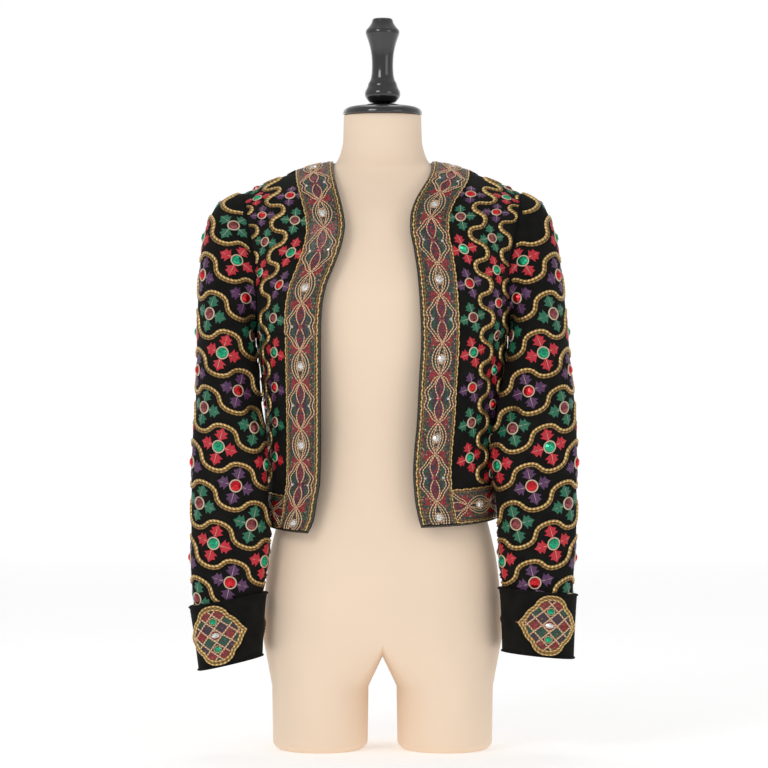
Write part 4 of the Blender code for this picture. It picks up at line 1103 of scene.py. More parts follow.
def sheet_of(fabric, node, lifts, closed):
    """A thin shell on the piece's own surface, stood for the plain solid."""
    cloth = fabric.cloth
    rows, columns = cloth.across.shape
    shown = columns - 1 if closed else columns
    outer = cloth.points + cloth.normal * lifts[0]
    inner = cloth.points + cloth.normal * lifts[1]
    points = np.concatenate([outer[:, :shown].reshape(-1, 3), inner[:, :shown].reshape(-1, 3)])
    points = points + np.array(STAND_AT)
    half = rows * shown
    faces = []

    def at(row, column, face):
        return face * half + row * shown + column % shown

    last = shown if closed else shown - 1
    for i in range(rows - 1):
        for j in range(last):
            faces.append((at(i, j, 0), at(i, j + 1, 0), at(i + 1, j + 1, 0), at(i + 1, j, 0)))
            faces.append((at(i, j, 1), at(i + 1, j, 1), at(i + 1, j + 1, 1), at(i, j + 1, 1)))
    for i in (0, rows - 1):
        for j in range(last):
            faces.append((at(i, j, 0), at(i, j + 1, 0), at(i, j + 1, 1), at(i, j, 1)))
    if not closed:
        for j in (0, columns - 1):
            for i in range(rows - 1):
                faces.append((at(i, j, 0), at(i + 1, j, 0), at(i + 1, j, 1), at(i, j, 1)))
    mesh = bpy.data.meshes.new(fabric.name)
    mesh.from_pydata(points.tolist(), [], faces)
    shell = bmesh.new()
    shell.from_mesh(mesh)
    bmesh.ops.recalc_face_normals(shell, faces=shell.faces)
    shell.to_mesh(mesh)
    shell.free()
    mesh.shade_smooth()
    mesh.set_sharp_from_angle(angle=math.radians(50))
    item = bpy.data.objects.new(fabric.name, mesh)
    bpy.context.scene.collection.objects.link(item)
    mesh.materials.append(finish("velvet"))
    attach(item, "root")
    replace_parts(item, node)
    return item


def crease(cloth, seed, count, depth, reach):
    """Presses a few soft uneven creases into a cloth, at random places."""
    maker = np.random.default_rng(seed)
    folds = []
    for _ in range(count):
        along = maker.uniform(0.05, 0.95) * cloth.along[-1]
        low, high = cloth.across[len(cloth.along) // 2, 0], cloth.across[len(cloth.along) // 2, -1]
        across = maker.uniform(low * 0.85, high * 0.85)
        folds.append((across, along, maker.uniform(0.008, 0.014), maker.uniform(0.02, reach),
                      maker.uniform(-1.2, 1.2), maker.uniform(0.3, 1.0) * depth))
    cloth.fold_in(folds)


def all_fabrics():
    """Every cloth piece's surface, worked out once."""
    if FABRICS:
        return FABRICS
    for side, seed in (("right", 3), ("left", 5)):
        FABRICS["front_" + side] = Fabric("velvet_front_" + side, front_cloth(side))
        sleeve = sleeve_cloth(side)
        crease(sleeve, seed, 14, 0.0012, 0.05)
        FABRICS["sleeve_" + side] = Fabric("velvet_sleeve_" + side, sleeve)
        FABRICS["cuff_" + side] = Fabric("velvet_cuff_" + side, cuff_cloth(side), WALL)
    back = back_cloth()
    crease(back, 11, 10, 0.0012, 0.08)
    FABRICS["back"] = Fabric("velvet_back", back)
    return FABRICS


def trellis_basis(kind):
    """The pattern's two steps on a piece, and its first flower's place across."""
    named = dict(zip(TRELLIS_COLUMNS, TRELLIS[kind]))
    down = np.array([named["down_across"], named["down_along"]])
    side = np.array([named["side_across"], named["side_along"]])
    return down, side, named


def cord_wave(swing):
    """One step of the cord's wave: shares of the step, and distances from the middle."""
    turn = np.linspace(0, 2 * math.pi, CORD_POINTS, endpoint=False)
    return turn / (2 * math.pi) + CORD_WIDEN * np.sin(2 * turn), swing * np.cos(turn)


def trellis_of(fabric, kind):
    """Flowers by colour and cord lines on a piece, before anything is left out."""
    down, side, named = trellis_basis(kind)
    cloth = fabric.cloth
    first = np.array([named["across"], cloth.along_at_height(named["height"])])
    if kind != "sleeve":
        down, side = down * (1, -1), side * (1, -1)
    flowers = ([], [], [])
    for i in range(-16, 17):
        for j in range(-16, 17):
            flowers[(j - i) % 3].append(first + down * i + side * j)
    if kind == "front":
        shares, swings = cord_wave(FRONT_SWING)
        wave = np.column_stack([swings, shares])
        run = np.concatenate([wave + (0, k) for k in range(-9, 10)])
        run = np.column_stack([run[:, 0] + run[:, 1] * down[0], run[:, 1] * down[1]])
        lines = [round_off(run + first + side * (j + 0.5) - (0, side[1] / 2)) for j in range(0, 4)]
        return [np.array(group) for group in flowers], lines
    period = down + side
    away = np.array([-period[1], period[0]]) / np.linalg.norm(period)
    away *= np.sign(away @ down)
    shares, swings = cord_wave(CORD_SWING)
    line = shares[:, None] * period + (away @ down / 2 + swings)[:, None] * away
    run = np.concatenate([line + period * k for k in range(-9, 10)])
    lines = [round_off(run + first + down * i, 1) for i in range(-22, 23)]
    return [np.array(group) for group in flowers], lines


def keep_on(fabric, kind):
    """A test for places on a piece's open velvet, away from its seams, bands and cuffs."""
    cloth = fabric.cloth
    top = cloth.along[-1]

    def keep(across, along, margin=0.003):
        across, along = np.asarray(across), np.asarray(along)
        if kind == "sleeve":
            rows, columns = find_spots(cloth, across, along)
            column_step = margin / SLEEVE_COLUMN
            return ((from_armhole(cloth, columns, along) > margin)
                    & (rows < len(cloth.along) - 1 - FOOT_CLEAR / SLEEVE_ROW)
                    & (columns > column_step) & (columns < ROUND - column_step))
        low, high = fabric.limits(along)
        held = (across > low + margin) & (across < high - margin)
        held &= (along > BAND_HEM + margin + 0.002) & (along < top - margin)
        if kind == "front":
            return held & (across > BAND_WIDTH + margin + 0.002)
        share = np.minimum(np.abs(across) / (NECK_HALF + BAND_WIDTH + 0.006), 1)
        return held & (along < top - margin - NECK_BAND * (1 - share ** 3))

    return keep


class JACKET_OT_velvet(bpy.types.Operator):
    """Lays the velvet shells of the fronts, back, sleeves and cuffs"""

    bl_idname = "jacket.velvet"
    bl_label = "Velvet pieces"

    def execute(self, context):
        for node, fabric in all_fabrics().items():
            closed = node.startswith(("sleeve", "cuff"))
            lifts = (WALL, 0.0) if node.startswith("cuff") else (0.0, -WALL)
            sheet_of(fabric, node, lifts, closed)
        return {"FINISHED"}


class JACKET_OT_trellis(bpy.types.Operator):
    """Lays the gold cord lines, the silk flowers and their stones over the velvet"""

    bl_idname = "jacket.trellis"
    bl_label = "Trellis and flowers"

    def execute(self, context):
        sizes = context.scene.jacket
        gold = Sewn("cord_gold", "cord_gold")
        bronze = Sewn("cord_bronze", "cord_bronze")
        veins = Sewn("petal_veins", "thread_pale", smooth=False)
        rings = Sewn("stone_rings", "thread_pale")
        silks = {s: Sewn("petals_" + s.split("_")[1], s) for s, _ in FLOWER_COLOURS}
        stones = {g: Sewn("stones_" + g.split("_")[1], g, smooth=False) for _, g in FLOWER_COLOURS}
        for node, fabric in all_fabrics().items():
            kind = node.split("_")[0]
            if kind == "cuff":
                continue
            keep = keep_on(fabric, kind)
            small = 0.84 if kind == "front" else 1.0
            flowers, lines = trellis_of(fabric, kind)
            for line in lines:
                lay_cord(gold, fabric, line, sizes.cord_radius, 0.0, keep, twist=sizes.cord_twist)
                lay_cord(bronze, fabric, line, sizes.bronze_radius, 0.0, keep,
                         beside=sizes.cord_radius + sizes.bronze_radius, twist=sizes.cord_twist)
            for group, (silk, glass) in zip(flowers, FLOWER_COLOURS):
                reach = small * (sizes.ring_radius + sizes.petal_length * 0.55)
                held = group[keep(group[:, 0], group[:, 1], reach * 0.72)]
                lay_petals(silks[silk], veins, fabric, held, sizes.petal_turn,
                           sizes.petal_length * small, sizes.petal_width * small,
                           sizes.ring_radius * small * 1.02)
                lay_dome(stones[glass], fabric, held, sizes.stone_radius * small,
                         sizes.stone_rise, 10)
                lay_ring(rings, fabric, held, sizes.ring_radius * small, 0.0010, 0.0003)
        for sewn in (gold, bronze, veins, rings, *silks.values(), *stones.values()):
            sewn.make()
        return {"FINISHED"}


# Share of the strap period that the large compartment takes, and the reach of the straps
# from a band's middle line in the large and in the small compartment.
LARGE_SHARE = 0.58
LARGE_REACH = 0.0195
SMALL_REACH = 0.0130
INNER_REACH = 0.0062
BAND_FACE = 0.0024
BAND_BEAD = 0.0011
MEDALLION_FACE = 0.0026
MEDALLION_CELL = 0.0190
MEDALLION_LINE = 0.0010
MEDALLION_ROWS = (0.975, 0.915, 0.86)
MEDALLION_LINES_INSIDE = 0.83
MEDALLION_BEADS_INSIDE = 0.82
MEDALLION_GOLD_FROM = 0.34


def strap_reach(run, period):
    """Reach of the outer and the inner strap pair from the middle line, and the compartment."""
    share = np.mod(run / period, 1.0)
    large = share < LARGE_SHARE
    within = np.where(large, share / LARGE_SHARE, (share - LARGE_SHARE) / (1 - LARGE_SHARE))
    swell = np.sin(math.pi * within)
    bracket = 1 + 0.10 * np.cos(6 * math.pi * within)
    outer = np.where(large, LARGE_REACH * swell ** 0.55 * bracket, SMALL_REACH * swell ** 0.75)
    inner = np.where(large, INNER_REACH * np.abs(np.sin(2 * math.pi * within)),
                     INNER_REACH * (1 - np.abs(2 * within - 1)))
    return outer, inner, large, within


class Strip:
    """A stretch of beaded band: run is along it and off is from its middle line."""

    def __init__(self, node, fabric, first, last, width, to_flat, start=0.0):
        self.node = node
        self.fabric = fabric
        self.first = first
        self.last = last
        self.width = width
        self.to_flat = to_flat
        self.start = start

    def path(self, run, off):
        run, off = np.broadcast_arrays(np.asarray(run, float), np.asarray(off, float))
        across, along = self.to_flat(run, off)
        return np.stack([across, along], -1)


def band_strips():
    """All the stretches of the beaded band."""
    strips = []
    middle = (BAND_EDGE + BAND_WIDTH) / 2
    hem = (BAND_EDGE + BAND_HEM) / 2
    hem_width = BAND_HEM - BAND_EDGE
    for side in ("right", "left"):
        fabric = all_fabrics()["front_" + side]
        top = fabric.cloth.along[-1]
        _, high = fabric.limits(np.array([hem]))
        strips.append(Strip("border_front_" + side, fabric, BAND_EDGE, top - 0.0006,
                            BAND_WIDTH - BAND_EDGE, lambda run, off: (middle + off, run), 0.036))
        strips.append(Strip("border_front_" + side, fabric, BAND_WIDTH, float(high[0]) - 0.001,
                            hem_width, lambda run, off: (run, hem + off), 0.010))
    back = all_fabrics()["back"]
    low, high = back.limits(np.array([hem]))
    strips.append(Strip("border_back_hem", back, float(low[0]) + 0.001, float(high[0]) - 0.001,
                        hem_width, lambda run, off: (run, hem + off), 0.030))
    top = back.cloth.along[-1]
    reach = float(np.interp(NECK_HALF + BAND_WIDTH - 0.003, np.abs(back.cloth.points[-1, 48:, 0]),
                            back.cloth.across[-1, 48:]))

    def round_neck(run, off):
        share = np.minimum(np.abs(run) / reach, 1.0)
        wide = NECK_BAND * (1 - share ** 3) + 0.002
        return run, top - 0.001 - wide / 2 + off * wide / NECK_BAND

    strips.append(Strip("border_back_neck", back, -reach, reach, NECK_BAND - 0.002, round_neck, 0.030))
    return strips


def band_ground(sewn, strip):
    """The band's own cloth: a low plate with its edges turned down."""
    runs = np.linspace(strip.first, strip.last, max(int((strip.last - strip.first) / 0.006), 6))
    half = strip.width / 2
    offs = np.concatenate([[-half, -half], np.linspace(-half, half, 9)[1:-1], [half, half]])
    lifts = np.concatenate([[0.0002], np.full(len(offs) - 2, BAND_FACE), [0.0002]])
    grid = strip.path(np.repeat(runs, len(offs)), np.tile(offs, len(runs)))
    flat = np.column_stack([grid, np.tile(lifts, len(runs))])
    count = len(offs)
    faces = [(i * count + j, i * count + j + 1, (i + 1) * count + j + 1, (i + 1) * count + j)
             for i in range(len(runs) - 1) for j in range(count - 1)]
    sewn.add(strip.fabric.carry(flat), faces)


def bead_places(strip, pitch, maker):
    """Places of a band's beads, in rows that are a little uneven."""
    half = strip.width / 2 - 0.0016
    runs = np.arange(strip.first + pitch / 2, strip.last - pitch / 2, pitch)
    offs = np.arange(-half, half, pitch)
    run, off = np.meshgrid(runs, offs, indexing="ij")
    run = run + (np.arange(len(offs)) % 2) * pitch / 2
    run = run + maker.uniform(-0.15, 0.15, run.shape) * pitch
    off = off + maker.uniform(-0.15, 0.15, off.shape) * pitch
    return run.ravel(), off.ravel()


def bead_colours(strip, run, off, period, maker):
    """Which colour each bead has: by compartment, with a few strays."""
    outer, inner, large, within = strap_reach(run - strip.start, period)
    away = np.abs(off)
    pick = maker.uniform(0, 1, len(run))
    ends = np.minimum(within, 1 - within)
    colour = np.full(len(run), "bead_green", dtype=object)
    colour[pick > 0.34] = "bead_dark"
    colour[pick > 0.54] = "bead_gold"
    colour[pick > 0.68] = "bead_purple"
    colour[pick > 0.84] = "bead_red"
    colour[pick > 0.95] = "bead_clear"
    red = (away > outer) & (ends < 0.13) & (away < 0.014)
    colour[red & (pick < 0.85)] = "bead_red"
    body = (away <= outer) & (away > inner)
    colour[body & large] = "bead_purple"
    colour[body & large & (np.abs(away - 0.0125) < 0.0035)] = "bead_green"
    colour[body & large & (pick > 0.72)] = "bead_dark"
    colour[body & large & (pick > 0.90)] = "bead_gold"
    colour[body & ~large] = "bead_green"
    colour[body & ~large & (pick > 0.60)] = "bead_dark"
    colour[body & (ends < 0.15)] = "bead_red"
    heart = away <= inner
    colour[heart & large] = "bead_purple"
    colour[heart & large & (pick > 0.55)] = "bead_red"
    colour[heart & ~large] = "bead_clear"
    colour[heart & ~large & (pick > 0.45)] = "bead_dark"
    return colour


class JACKET_OT_bands(bpy.types.Operator):
    """Fills the bands round the neck, fronts and hem with beads, straps and crystals"""

    bl_idname = "jacket.bands"
    bl_label = "Beaded bands"

    def execute(self, context):
        sizes = context.scene.jacket
        maker = np.random.default_rng(21)
        names = ("bead_red", "bead_green", "bead_purple", "bead_gold", "bead_clear", "bead_dark")
        beads = {name: Sewn("band_" + name, name) for name in names}
        straps = Sewn("band_straps", "strap_rose")
        edges = Sewn("band_edge_cords", "cord_gold")
        # a dark bronze-coloured line painted as shadow just inside the band's gold rim cord
        shadows = Sewn("band_edge_painted_shadow", "cord_bronze")
        clear = Sewn("band_crystals", "glass_clear", smooth=False)
        rose = Sewn("band_garnets", "glass_rose", smooth=False)
        rings = Sewn("band_crystal_rings", "strap_rose")
        grounds = {}
        period = sizes.strap_period
        for strip in band_strips():
            if strip.node not in grounds:
                grounds[strip.node] = Sewn("ground_" + strip.node, "bead_dark", "band")
            band_ground(grounds[strip.node], strip)
            fabric = strip.fabric
            run, off = bead_places(strip, sizes.bead_pitch, maker)
            colour = bead_colours(strip, run, off, period, maker)
            places = strip.path(run, off)
            for name, sewn in beads.items():
                lay_beads(sewn, fabric, places[colour == name], BAND_BEAD, BAND_FACE)
            along = np.arange(strip.first, strip.last, 0.0015)
            outer, inner = strap_reach(along - strip.start, period)[:2]
            scale = strip.width / (BAND_WIDTH - BAND_EDGE)
            for sign in (-1, 1):
                for reach in (outer, inner, np.maximum(outer - 0.0042, 0)):
                    path = strip.path(along, sign * reach * scale)
                    lay_cord(straps, fabric, path, sizes.strap_radius, BAND_FACE + 0.0009,
                             step=0.0018, sides=4, twist=0.0022)
                scallop = 0.0012 * np.abs(np.sin(along * math.pi / 0.0134))
                rim = strip.path(along, sign * (strip.width / 2 - 0.0012 + scallop))
                lay_cord(edges, fabric, rim, 0.0012, BAND_FACE - 0.0008, step=0.002, sides=4)
                # painted shadow: a dark cord just inside the scalloped gold rim
                rim = strip.path(along, sign * (strip.width / 2 - 0.0034))
                lay_cord(shadows, fabric, rim, 0.0009, BAND_FACE, step=0.0025, sides=4)
            first = math.ceil((strip.first - strip.start) / period - 1)
            for k in range(first, first + 9):
                heart = strip.start + period * (k + LARGE_SHARE / 2)
                small = strip.start + period * (k + (1 + LARGE_SHARE) / 2)
                if strip.first + 0.008 < heart < strip.last - 0.008:
                    place = strip.path([heart], [0.0])
                    lay_dome(rose, fabric, place, 0.0042, 0.0026, 8, BAND_FACE)
                    sides = strip.path([heart, heart], [-0.0125 * scale, 0.0125 * scale])
                    lay_dome(clear, fabric, sides, 0.0022, 0.0020, 6, BAND_FACE)
                if strip.first + 0.008 < small < strip.last - 0.008:
                    place = strip.path([small], [0.0])
                    lay_dome(clear, fabric, place, 0.0052, 0.0030, 8, BAND_FACE)
                    lay_ring(rings, fabric, place, 0.0062, 0.0008, BAND_FACE + 0.0006)
        for sewn in (straps, edges, shadows, clear, rose, rings, *beads.values()):
            sewn.make()
        for node, sewn in grounds.items():
            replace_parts(sewn.make(), node)
        return {"FINISHED"}


class JACKET_OT_edging(bpy.types.Operator):
    """Binds the open edges, the hem and the neck with dark beaded cord dotted with small gold beads as
    painted glints, and the cuffs' edges with velvet cord
    """

    bl_idname = "jacket.edging"
    bl_label = "Edge binding"

    def execute(self, context):
        binding = Sewn("edge_binding", "bead_dark")
        cuff_edges = Sewn("cuff_edges", "velvet")
        glints = Sewn("edge_glints", "bead_gold")
        fabrics = all_fabrics()
        runs = []
        for side in ("right", "left"):
            fabric = fabrics["front_" + side]
            top = fabric.cloth.along[-1]
            _, high = fabric.limits(np.array([0.0]))
            runs.append((fabric, [(0.0018, top - 0.001), (0.0018, 0.0018)]))
            runs.append((fabric, [(0.0018, 0.0018), (float(high[0]) - 0.001, 0.0018)]))
            cuff = fabrics["cuff_" + side]
            for along in (0.0015, CUFF_HEIGHT - 0.0015):
                low, high = cuff.limits(np.array([along]))
                runs.append((cuff, [(float(low[0]), along), (float(high[0]), along)]))
        back = fabrics["back"]
        low, high = back.limits(np.array([0.0]))
        runs.append((back, [(float(low[0]) + 0.001, 0.0018), (float(high[0]) - 0.001, 0.0018)]))
        neck = float(np.interp(NECK_HALF, back.cloth.points[-1, 48:, 0], back.cloth.across[-1, 48:]))
        top = back.cloth.along[-1] - 0.0016
        runs.append((back, [(-neck, top), (neck, top)]))
        for fabric, path in runs:
            if fabric.name.startswith("velvet_cuff"):
                lay_cord(cuff_edges, fabric, path, 0.0015, 0.0, step=0.003)
                continue
            lay_cord(binding, fabric, path, 0.0019, 0.0, step=0.003)
            # small gold beads along the binding: painted highlights standing for glints on the dark beads
            points, _ = even_path(path, 0.0042)
            lay_beads(glints, fabric, points, 0.0006, 0.0023, sides=4)
        binding.make()
        cuff_edges.make()
        glints.make()
        return {"FINISHED"}


def inside_outline(outline, scale, places):
    """Which places lie within an outline that is scaled about its middle."""
    ring = np.asarray(outline) * scale
    nxt = np.roll(ring, -1, axis=0)
    a, b = places[:, 0][:, None], places[:, 1][:, None]
    crosses = (ring[:, 1] > b) != (nxt[:, 1] > b)
    rise = np.where(nxt[:, 1] == ring[:, 1], 1e-12, nxt[:, 1] - ring[:, 1])
    at = ring[:, 0] + (b - ring[:, 1]) / rise * (nxt[:, 0] - ring[:, 0])
    return np.sum(crosses & (a < at), axis=1) % 2 == 1


class JACKET_OT_medallions(bpy.types.Operator):
    """Builds the beaded quatrefoils on the cuffs"""

    bl_idname = "jacket.medallions"
    bl_label = "Cuff medallions"

    def execute(self, context):
        sizes = context.scene.jacket
        maker = np.random.default_rng(33)
        names = ("bead_red", "bead_green", "bead_purple", "bead_gold", "bead_dark")
        beads = {name: Sewn("medallion_" + name, name) for name in names}
        rows = Sewn("medallion_rows", "cord_gold")
        darker = Sewn("medallion_bronze_rows", "cord_bronze")
        lines = Sewn("medallion_lines", "strap_rose")
        crystals = Sewn("medallion_crystals", "glass_clear", smooth=False)
        greens = Sewn("medallion_green_stones", "glass_green", smooth=False)
        outline = np.array(medallion_outline())
        closed = np.concatenate([outline, outline[:1]])
        smooth = round_off(closed, 1)
        for side in ("right", "left"):
            fabric = all_fabrics()["cuff_" + side]
            for place, across in (("outer", MEDALLION_AT[side]), ("inner", MEDALLION_INNER_AT)):
                middle = np.array([across, CUFF_HEIGHT * 0.5])
                plate = Sewn(f"ground_medallion_{side}_{place}", "bead_dark", "medallion")
                levels = ((1.0, 0.0003), (1.0, MEDALLION_FACE), (0.75, MEDALLION_FACE),
                          (0.5, MEDALLION_FACE), (0.25, MEDALLION_FACE), (0.02, MEDALLION_FACE))
                count = len(outline)
                flat = np.concatenate([np.column_stack([outline * scale + middle, np.full(count, lift)])
                                       for scale, lift in levels])
                faces = [(i * count + k, i * count + (k + 1) % count, (i + 1) * count + (k + 1) % count,
                          (i + 1) * count + k) for i in range(len(levels) - 1) for k in range(count)]
                faces = [face[::-1] for face in faces]
                plate.add(fabric.carry(flat), faces)
                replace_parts(plate.make(), f"medallion_{side}_{place}")
                for scale, sewn in zip(MEDALLION_ROWS, (rows, darker, rows)):
                    lay_cord(sewn, fabric, smooth * scale + middle, 0.0012, MEDALLION_FACE - 0.0002,
                             step=0.0018, sides=4)

                def keep(a, b, middle=middle):
                    return inside_outline(outline, MEDALLION_LINES_INSIDE, np.stack([a, b], 1) - middle)

                for k in (-2, -1, 0, 1, 2):
                    for sign in (-1, 1):
                        shift = (k + 0.5) * MEDALLION_CELL
                        reach = np.array([-0.06, 0.06])
                        path = np.stack([reach + shift, sign * reach], 1) + middle
                        lay_cord(lines, fabric, path, MEDALLION_LINE, MEDALLION_FACE + 0.0006, keep,
                                 step=0.0018, sides=4, twist=0.0022)
                grid = np.arange(-0.042, 0.042, sizes.bead_pitch)
                a, b = (g.ravel() for g in np.meshgrid(grid, grid))
                spots = np.stack([a, b], 1) + maker.uniform(-0.0003, 0.0003, (len(a), 2))
                spots = spots[inside_outline(outline, MEDALLION_BEADS_INSIDE, spots)]
                cell_a = np.floor((spots[:, 0] + spots[:, 1]) / MEDALLION_CELL - 0.5).astype(int)
                cell_b = np.floor((spots[:, 0] - spots[:, 1]) / MEDALLION_CELL - 0.5).astype(int)
                order = np.array(["bead_red", "bead_green", "bead_purple"], dtype=object)
                colour = order[np.mod(cell_a * 2 + cell_b, 3)]
                colour[(cell_a == -1) & (cell_b == -1)] = "bead_red"
                stray = maker.uniform(0, 1, len(spots))
                colour[stray > 0.86] = "bead_dark"
                colour[stray > 0.94] = "bead_gold"
                colour[np.abs(spots[:, 0]) > MEDALLION_WIDTH * MEDALLION_GOLD_FROM] = "bead_gold"
                for name, sewn in beads.items():
                    lay_beads(sewn, fabric, spots[colour == name] + middle, BAND_BEAD, MEDALLION_FACE)
                lay_dome(crystals, fabric, [middle], 0.0055, 0.0030, 8, MEDALLION_FACE, squash=0.7)
                pair = middle + MEDALLION_CELL * np.array([(0, 1), (0, -1)])
                lay_dome(greens, fabric, pair, 0.0042, 0.0026, 8, MEDALLION_FACE)
                lay_ring(lines, fabric, pair, 0.0048, 0.0006, MEDALLION_FACE + 0.0004)
                lay_ring(lines, fabric, [middle], 0.0066, 0.0007, MEDALLION_FACE + 0.0004)
        for sewn in (rows, darker, lines, crystals, greens, *beads.values()):
            sewn.make()
        return {"FINISHED"}


FORM_ROUND = 96
TURNED_ROUND = 64


def form_ring(height):
    """Points round the form at a height."""
    angle = np.arange(FORM_ROUND) * 2 * math.pi / FORM_ROUND
    half, front, back, square = (float(read(FORM_RINGS, FORM_COLUMNS, name, height))
                                 for name in FORM_COLUMNS[1:])
    c, s = np.cos(angle), np.sin(angle)
    x = half * np.copysign(np.abs(c) ** (2 / square), c)
    depth = np.where(s < 0, front, back)
    y = depth * np.copysign(np.abs(s) ** (2 / square), s)
    return np.stack([x, y, np.full(FORM_ROUND, height)], 1)


def form_mesh():
    """The form's torso down to its two flat-footed stumps."""
    heights = np.concatenate([np.linspace(0.150, 0.740, 48), np.linspace(0.745, 0.835, 26),
                              [0.845, 0.856, 0.866]])
    vertices = np.concatenate([form_ring(h) for h in heights]).tolist()
    faces = []
    sides = FORM_ROUND
    for i in range(len(heights) - 1):
        for k in range(sides):
            n = (k + 1) % sides
            faces.append((i * sides + k, i * sides + n, (i + 1) * sides + n, (i + 1) * sides + k))
    top = (len(heights) - 1) * sides
    faces.append(tuple(top + k for k in range(sides)))
    quarter, opposite = sides // 4, 3 * sides // 4
    span = 24
    bridge = []
    for k in range(1, span):
        t = k / span
        y = vertices[quarter][1] * (1 - t) + vertices[opposite][1] * t
        bridge.append(len(vertices))
        vertices.append((0.0, y, 0.150 - 0.024 * math.sin(math.pi * t) ** 0.6))
    middle_y = (STUMP_FOOT_BACK - STUMP_FOOT_FRONT) / 2
    radius_y = (STUMP_FOOT_BACK + STUMP_FOOT_FRONT) / 2
    radius_x = (STUMP_OUTER - STUMP_INNER) / 2
    for mirror in (1, -1):
        first = opposite
        outside = [(first + mirror * k) % sides for k in range(sides // 2 + 1)]
        loop = outside + bridge
        middle_x = mirror * (STUMP_INNER + STUMP_OUTER) / 2
        start = np.array([vertices[place] for place in loop])
        turn = np.arctan2((start[:, 1] - middle_y) / 0.100, (start[:, 0] - middle_x) / 0.075)

        def stump_ring(level, shrink):
            rx = radius_x * (1 + 0.035 * level / 0.150) - shrink
            ry = radius_y * (1 + 0.20 * level / 0.150) - shrink
            return np.stack([middle_x + rx * np.cos(turn), middle_y + ry * np.sin(turn),
                             np.full(len(turn), level)], 1)

        rings = [start * (1 - t) + stump_ring(0.085, 0.0) * t for t in (0.25, 0.5, 0.75, 1.0)]
        rings += [stump_ring(level, 0.0) for level in (0.065, 0.045, 0.028, STUMP_ROUND)]
        for level in (0.007, 0.004, 0.0015, 0.0):
            rings.append(stump_ring(level, 0.0075 * (1 - level / STUMP_ROUND) ** 2))
        previous = loop
        for ring in rings:
            made = list(range(len(vertices), len(vertices) + len(loop)))
            vertices += ring.tolist()
            for k in range(len(loop)):
                n = (k + 1) % len(loop)
                faces.append((previous[k], made[k], made[n], previous[n]))
            previous = made
        faces.append(tuple(previous))
    return vertices, faces


def turned_mesh(profile):
    """A turned piece: its profile, slightly eased, swept round the axis."""
    outline = np.array([(0.0, profile[0][1]), *profile, (0.0, profile[-1][1])])
    outline = round_off(outline, 2)
    angle = np.arange(TURNED_ROUND) * 2 * math.pi / TURNED_ROUND
    rings = [np.stack([r * np.cos(angle), r * np.sin(angle), np.full(TURNED_ROUND, z)], 1)
             for r, z in outline]
    faces = []
    for i in range(len(rings) - 1):
        for k in range(TURNED_ROUND):
            n = (k + 1) % TURNED_ROUND
            a, b = i * TURNED_ROUND, (i + 1) * TURNED_ROUND
            faces.append((a + k, b + k, b + n, a + n))
    return np.concatenate(rings).tolist(), faces


def whole_object(name, vertices, faces, look, node, slot_name):
    """An object of one closed body that stands for a solid."""
    mesh = bpy.data.meshes.new(name)
    mesh.from_pydata([tuple(np.array(v) + np.array(STAND_AT)) for v in vertices], [], faces)
    shell = bmesh.new()
    shell.from_mesh(mesh)
    bmesh.ops.remove_doubles(shell, verts=shell.verts, dist=0.00001)
    bmesh.ops.recalc_face_normals(shell, faces=shell.faces)
    shell.to_mesh(mesh)
    shell.free()
    mesh.shade_smooth()
    mesh.set_sharp_from_angle(angle=math.radians(55))
    item = bpy.data.objects.new(name, mesh)
    bpy.context.scene.collection.objects.link(item)
    mesh.materials.append(finish(look))
    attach(item, "root")
    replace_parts(item, node)
    return item


class JACKET_OT_form(bpy.types.Operator):
    """Builds the covered form with its lacquered cap and finial"""

    bl_idname = "jacket.form"
    bl_label = "Dress form"

    def execute(self, context):
        whole_object("form_cover", *form_mesh(), "calico", "form_torso", "calico")
        whole_object("cap_lacquer", *turned_mesh(NECK_CAP_PROFILE), "lacquer", "neck_cap", "lacquer")
        whole_object("finial_lacquer", *turned_mesh(FINIAL_PROFILE), "lacquer", "finial", "lacquer")
        return {"FINISHED"}


# Stage: the floor's reach, the backdrop behind the form, and the camera's view
FLOOR_REACH = 7.0
FLOOR_AT = -0.0005
BACKDROP_BEHIND = 6.5
BACKDROP_HEIGHT = 4.0
STUDIO_STRENGTH = 0.62
CAMERA_LENS = 157.4
CAMERA_SENSOR = 36.0


def soft_light(name, at, aim, size, power):
    light = bpy.data.lights.new(name, "AREA")
    light.shape = "RECTANGLE"
    light.size, light.size_y = size
    light.energy = power
    item = bpy.data.objects.new(name, light)
    item.location = at
    item.rotation_euler = (Vector(aim) - Vector(at)).to_track_quat("-Z", "Y").to_euler()
    bpy.context.scene.collection.objects.link(item)


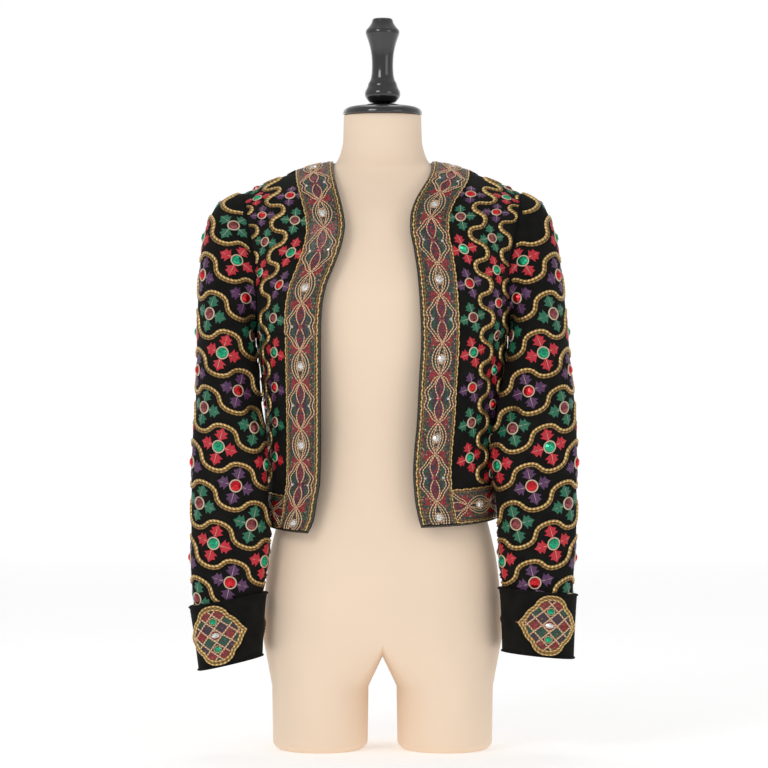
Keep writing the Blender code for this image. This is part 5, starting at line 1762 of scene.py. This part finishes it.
class JACKET_OT_stage(bpy.types.Operator):
    """Sets the pale floor, the soft lights and the camera"""

    bl_idname = "jacket.stage"
    bl_label = "Stage"

    def execute(self, context):
        scene = context.scene
        mesh = bpy.data.meshes.new("floor")
        reach = FLOOR_REACH
        mesh.from_pydata([(-reach, -reach, FLOOR_AT), (reach, -reach, FLOOR_AT), (reach, reach, FLOOR_AT),
                          (-reach, reach, FLOOR_AT)], [], [(0, 1, 2, 3)])
        floor = bpy.data.objects.new("floor", mesh)
        scene.collection.objects.link(floor)
        mesh.materials.append(finish("floor"))
        mesh = bpy.data.meshes.new("backdrop")
        behind = BACKDROP_BEHIND
        mesh.from_pydata([(-reach, behind, FLOOR_AT), (reach, behind, FLOOR_AT),
                          (reach, behind, BACKDROP_HEIGHT), (-reach, behind, BACKDROP_HEIGHT)],
                         [], [(0, 1, 2, 3)])
        backdrop = bpy.data.objects.new("backdrop", mesh)
        scene.collection.objects.link(backdrop)
        mesh.materials.append(finish("floor"))
        world = bpy.data.worlds.new("studio")
        world.use_nodes = True
        world.node_tree.nodes["Background"].inputs["Color"].default_value = (1.0, 1.0, 1.0, 1)
        world.node_tree.nodes["Background"].inputs["Strength"].default_value = STUDIO_STRENGTH
        scene.world = world
        soft_light("key", (-1.6, -2.6, 2.2), (0.0, 0.0, 0.55), (1.2, 1.2), 22.0)
        soft_light("fill", (2.4, -2.4, 1.4), (0.0, 0.0, 0.50), (1.6, 1.6), 9.0)
        soft_light("top", (0.0, 0.8, 2.8), (0.0, 0.0, 0.50), (1.4, 1.4), 8.0)
        scene.view_settings.view_transform = "Standard"
        camera = bpy.data.cameras.new("camera")
        camera.lens = CAMERA_LENS
        camera.sensor_width = CAMERA_SENSOR
        item = bpy.data.objects.new("camera", camera)
        away = scene.jacket.camera_distance
        item.location = (0.0020 + STAND_AT[0], -away + STAND_AT[1], 0.4987)
        item.rotation_euler = (math.pi / 2, 0.0, 0.0)
        scene.collection.objects.link(item)
        scene.camera = item
        return {"FINISHED"}


OPERATORS = (JACKET_OT_form, JACKET_OT_velvet, JACKET_OT_trellis, JACKET_OT_bands, JACKET_OT_edging,
             JACKET_OT_medallions, JACKET_OT_stage)


class JACKET_PT_panel(bpy.types.Panel):
    """Lists the pieces of the jacket"""

    bl_label = "Embroidered jacket"
    bl_idname = "JACKET_PT_panel"
    bl_space_type = "VIEW_3D"
    bl_region_type = "UI"
    bl_category = "Jacket"

    def draw(self, context):
        for name in JacketSettings.__annotations__:
            self.layout.prop(context.scene.jacket, name)
        for operator in OPERATORS:
            self.layout.operator(operator.bl_idname, text=operator.bl_label)


CLASSES = (JacketSettings, *OPERATORS, JACKET_PT_panel)


def register():
    for item in CLASSES:
        bpy.utils.register_class(item)
    bpy.types.Scene.jacket = bpy.props.PointerProperty(type=JacketSettings)


def unregister():
    del bpy.types.Scene.jacket
    for item in reversed(CLASSES):
        bpy.utils.unregister_class(item)


def main():
    register()
    bpy.ops.jacket.form()
    bpy.ops.jacket.velvet()
    bpy.ops.jacket.trellis()
    bpy.ops.jacket.bands()
    bpy.ops.jacket.edging()
    bpy.ops.jacket.medallions()
    bpy.ops.jacket.stage()


if __name__ == "__main__":
    main()
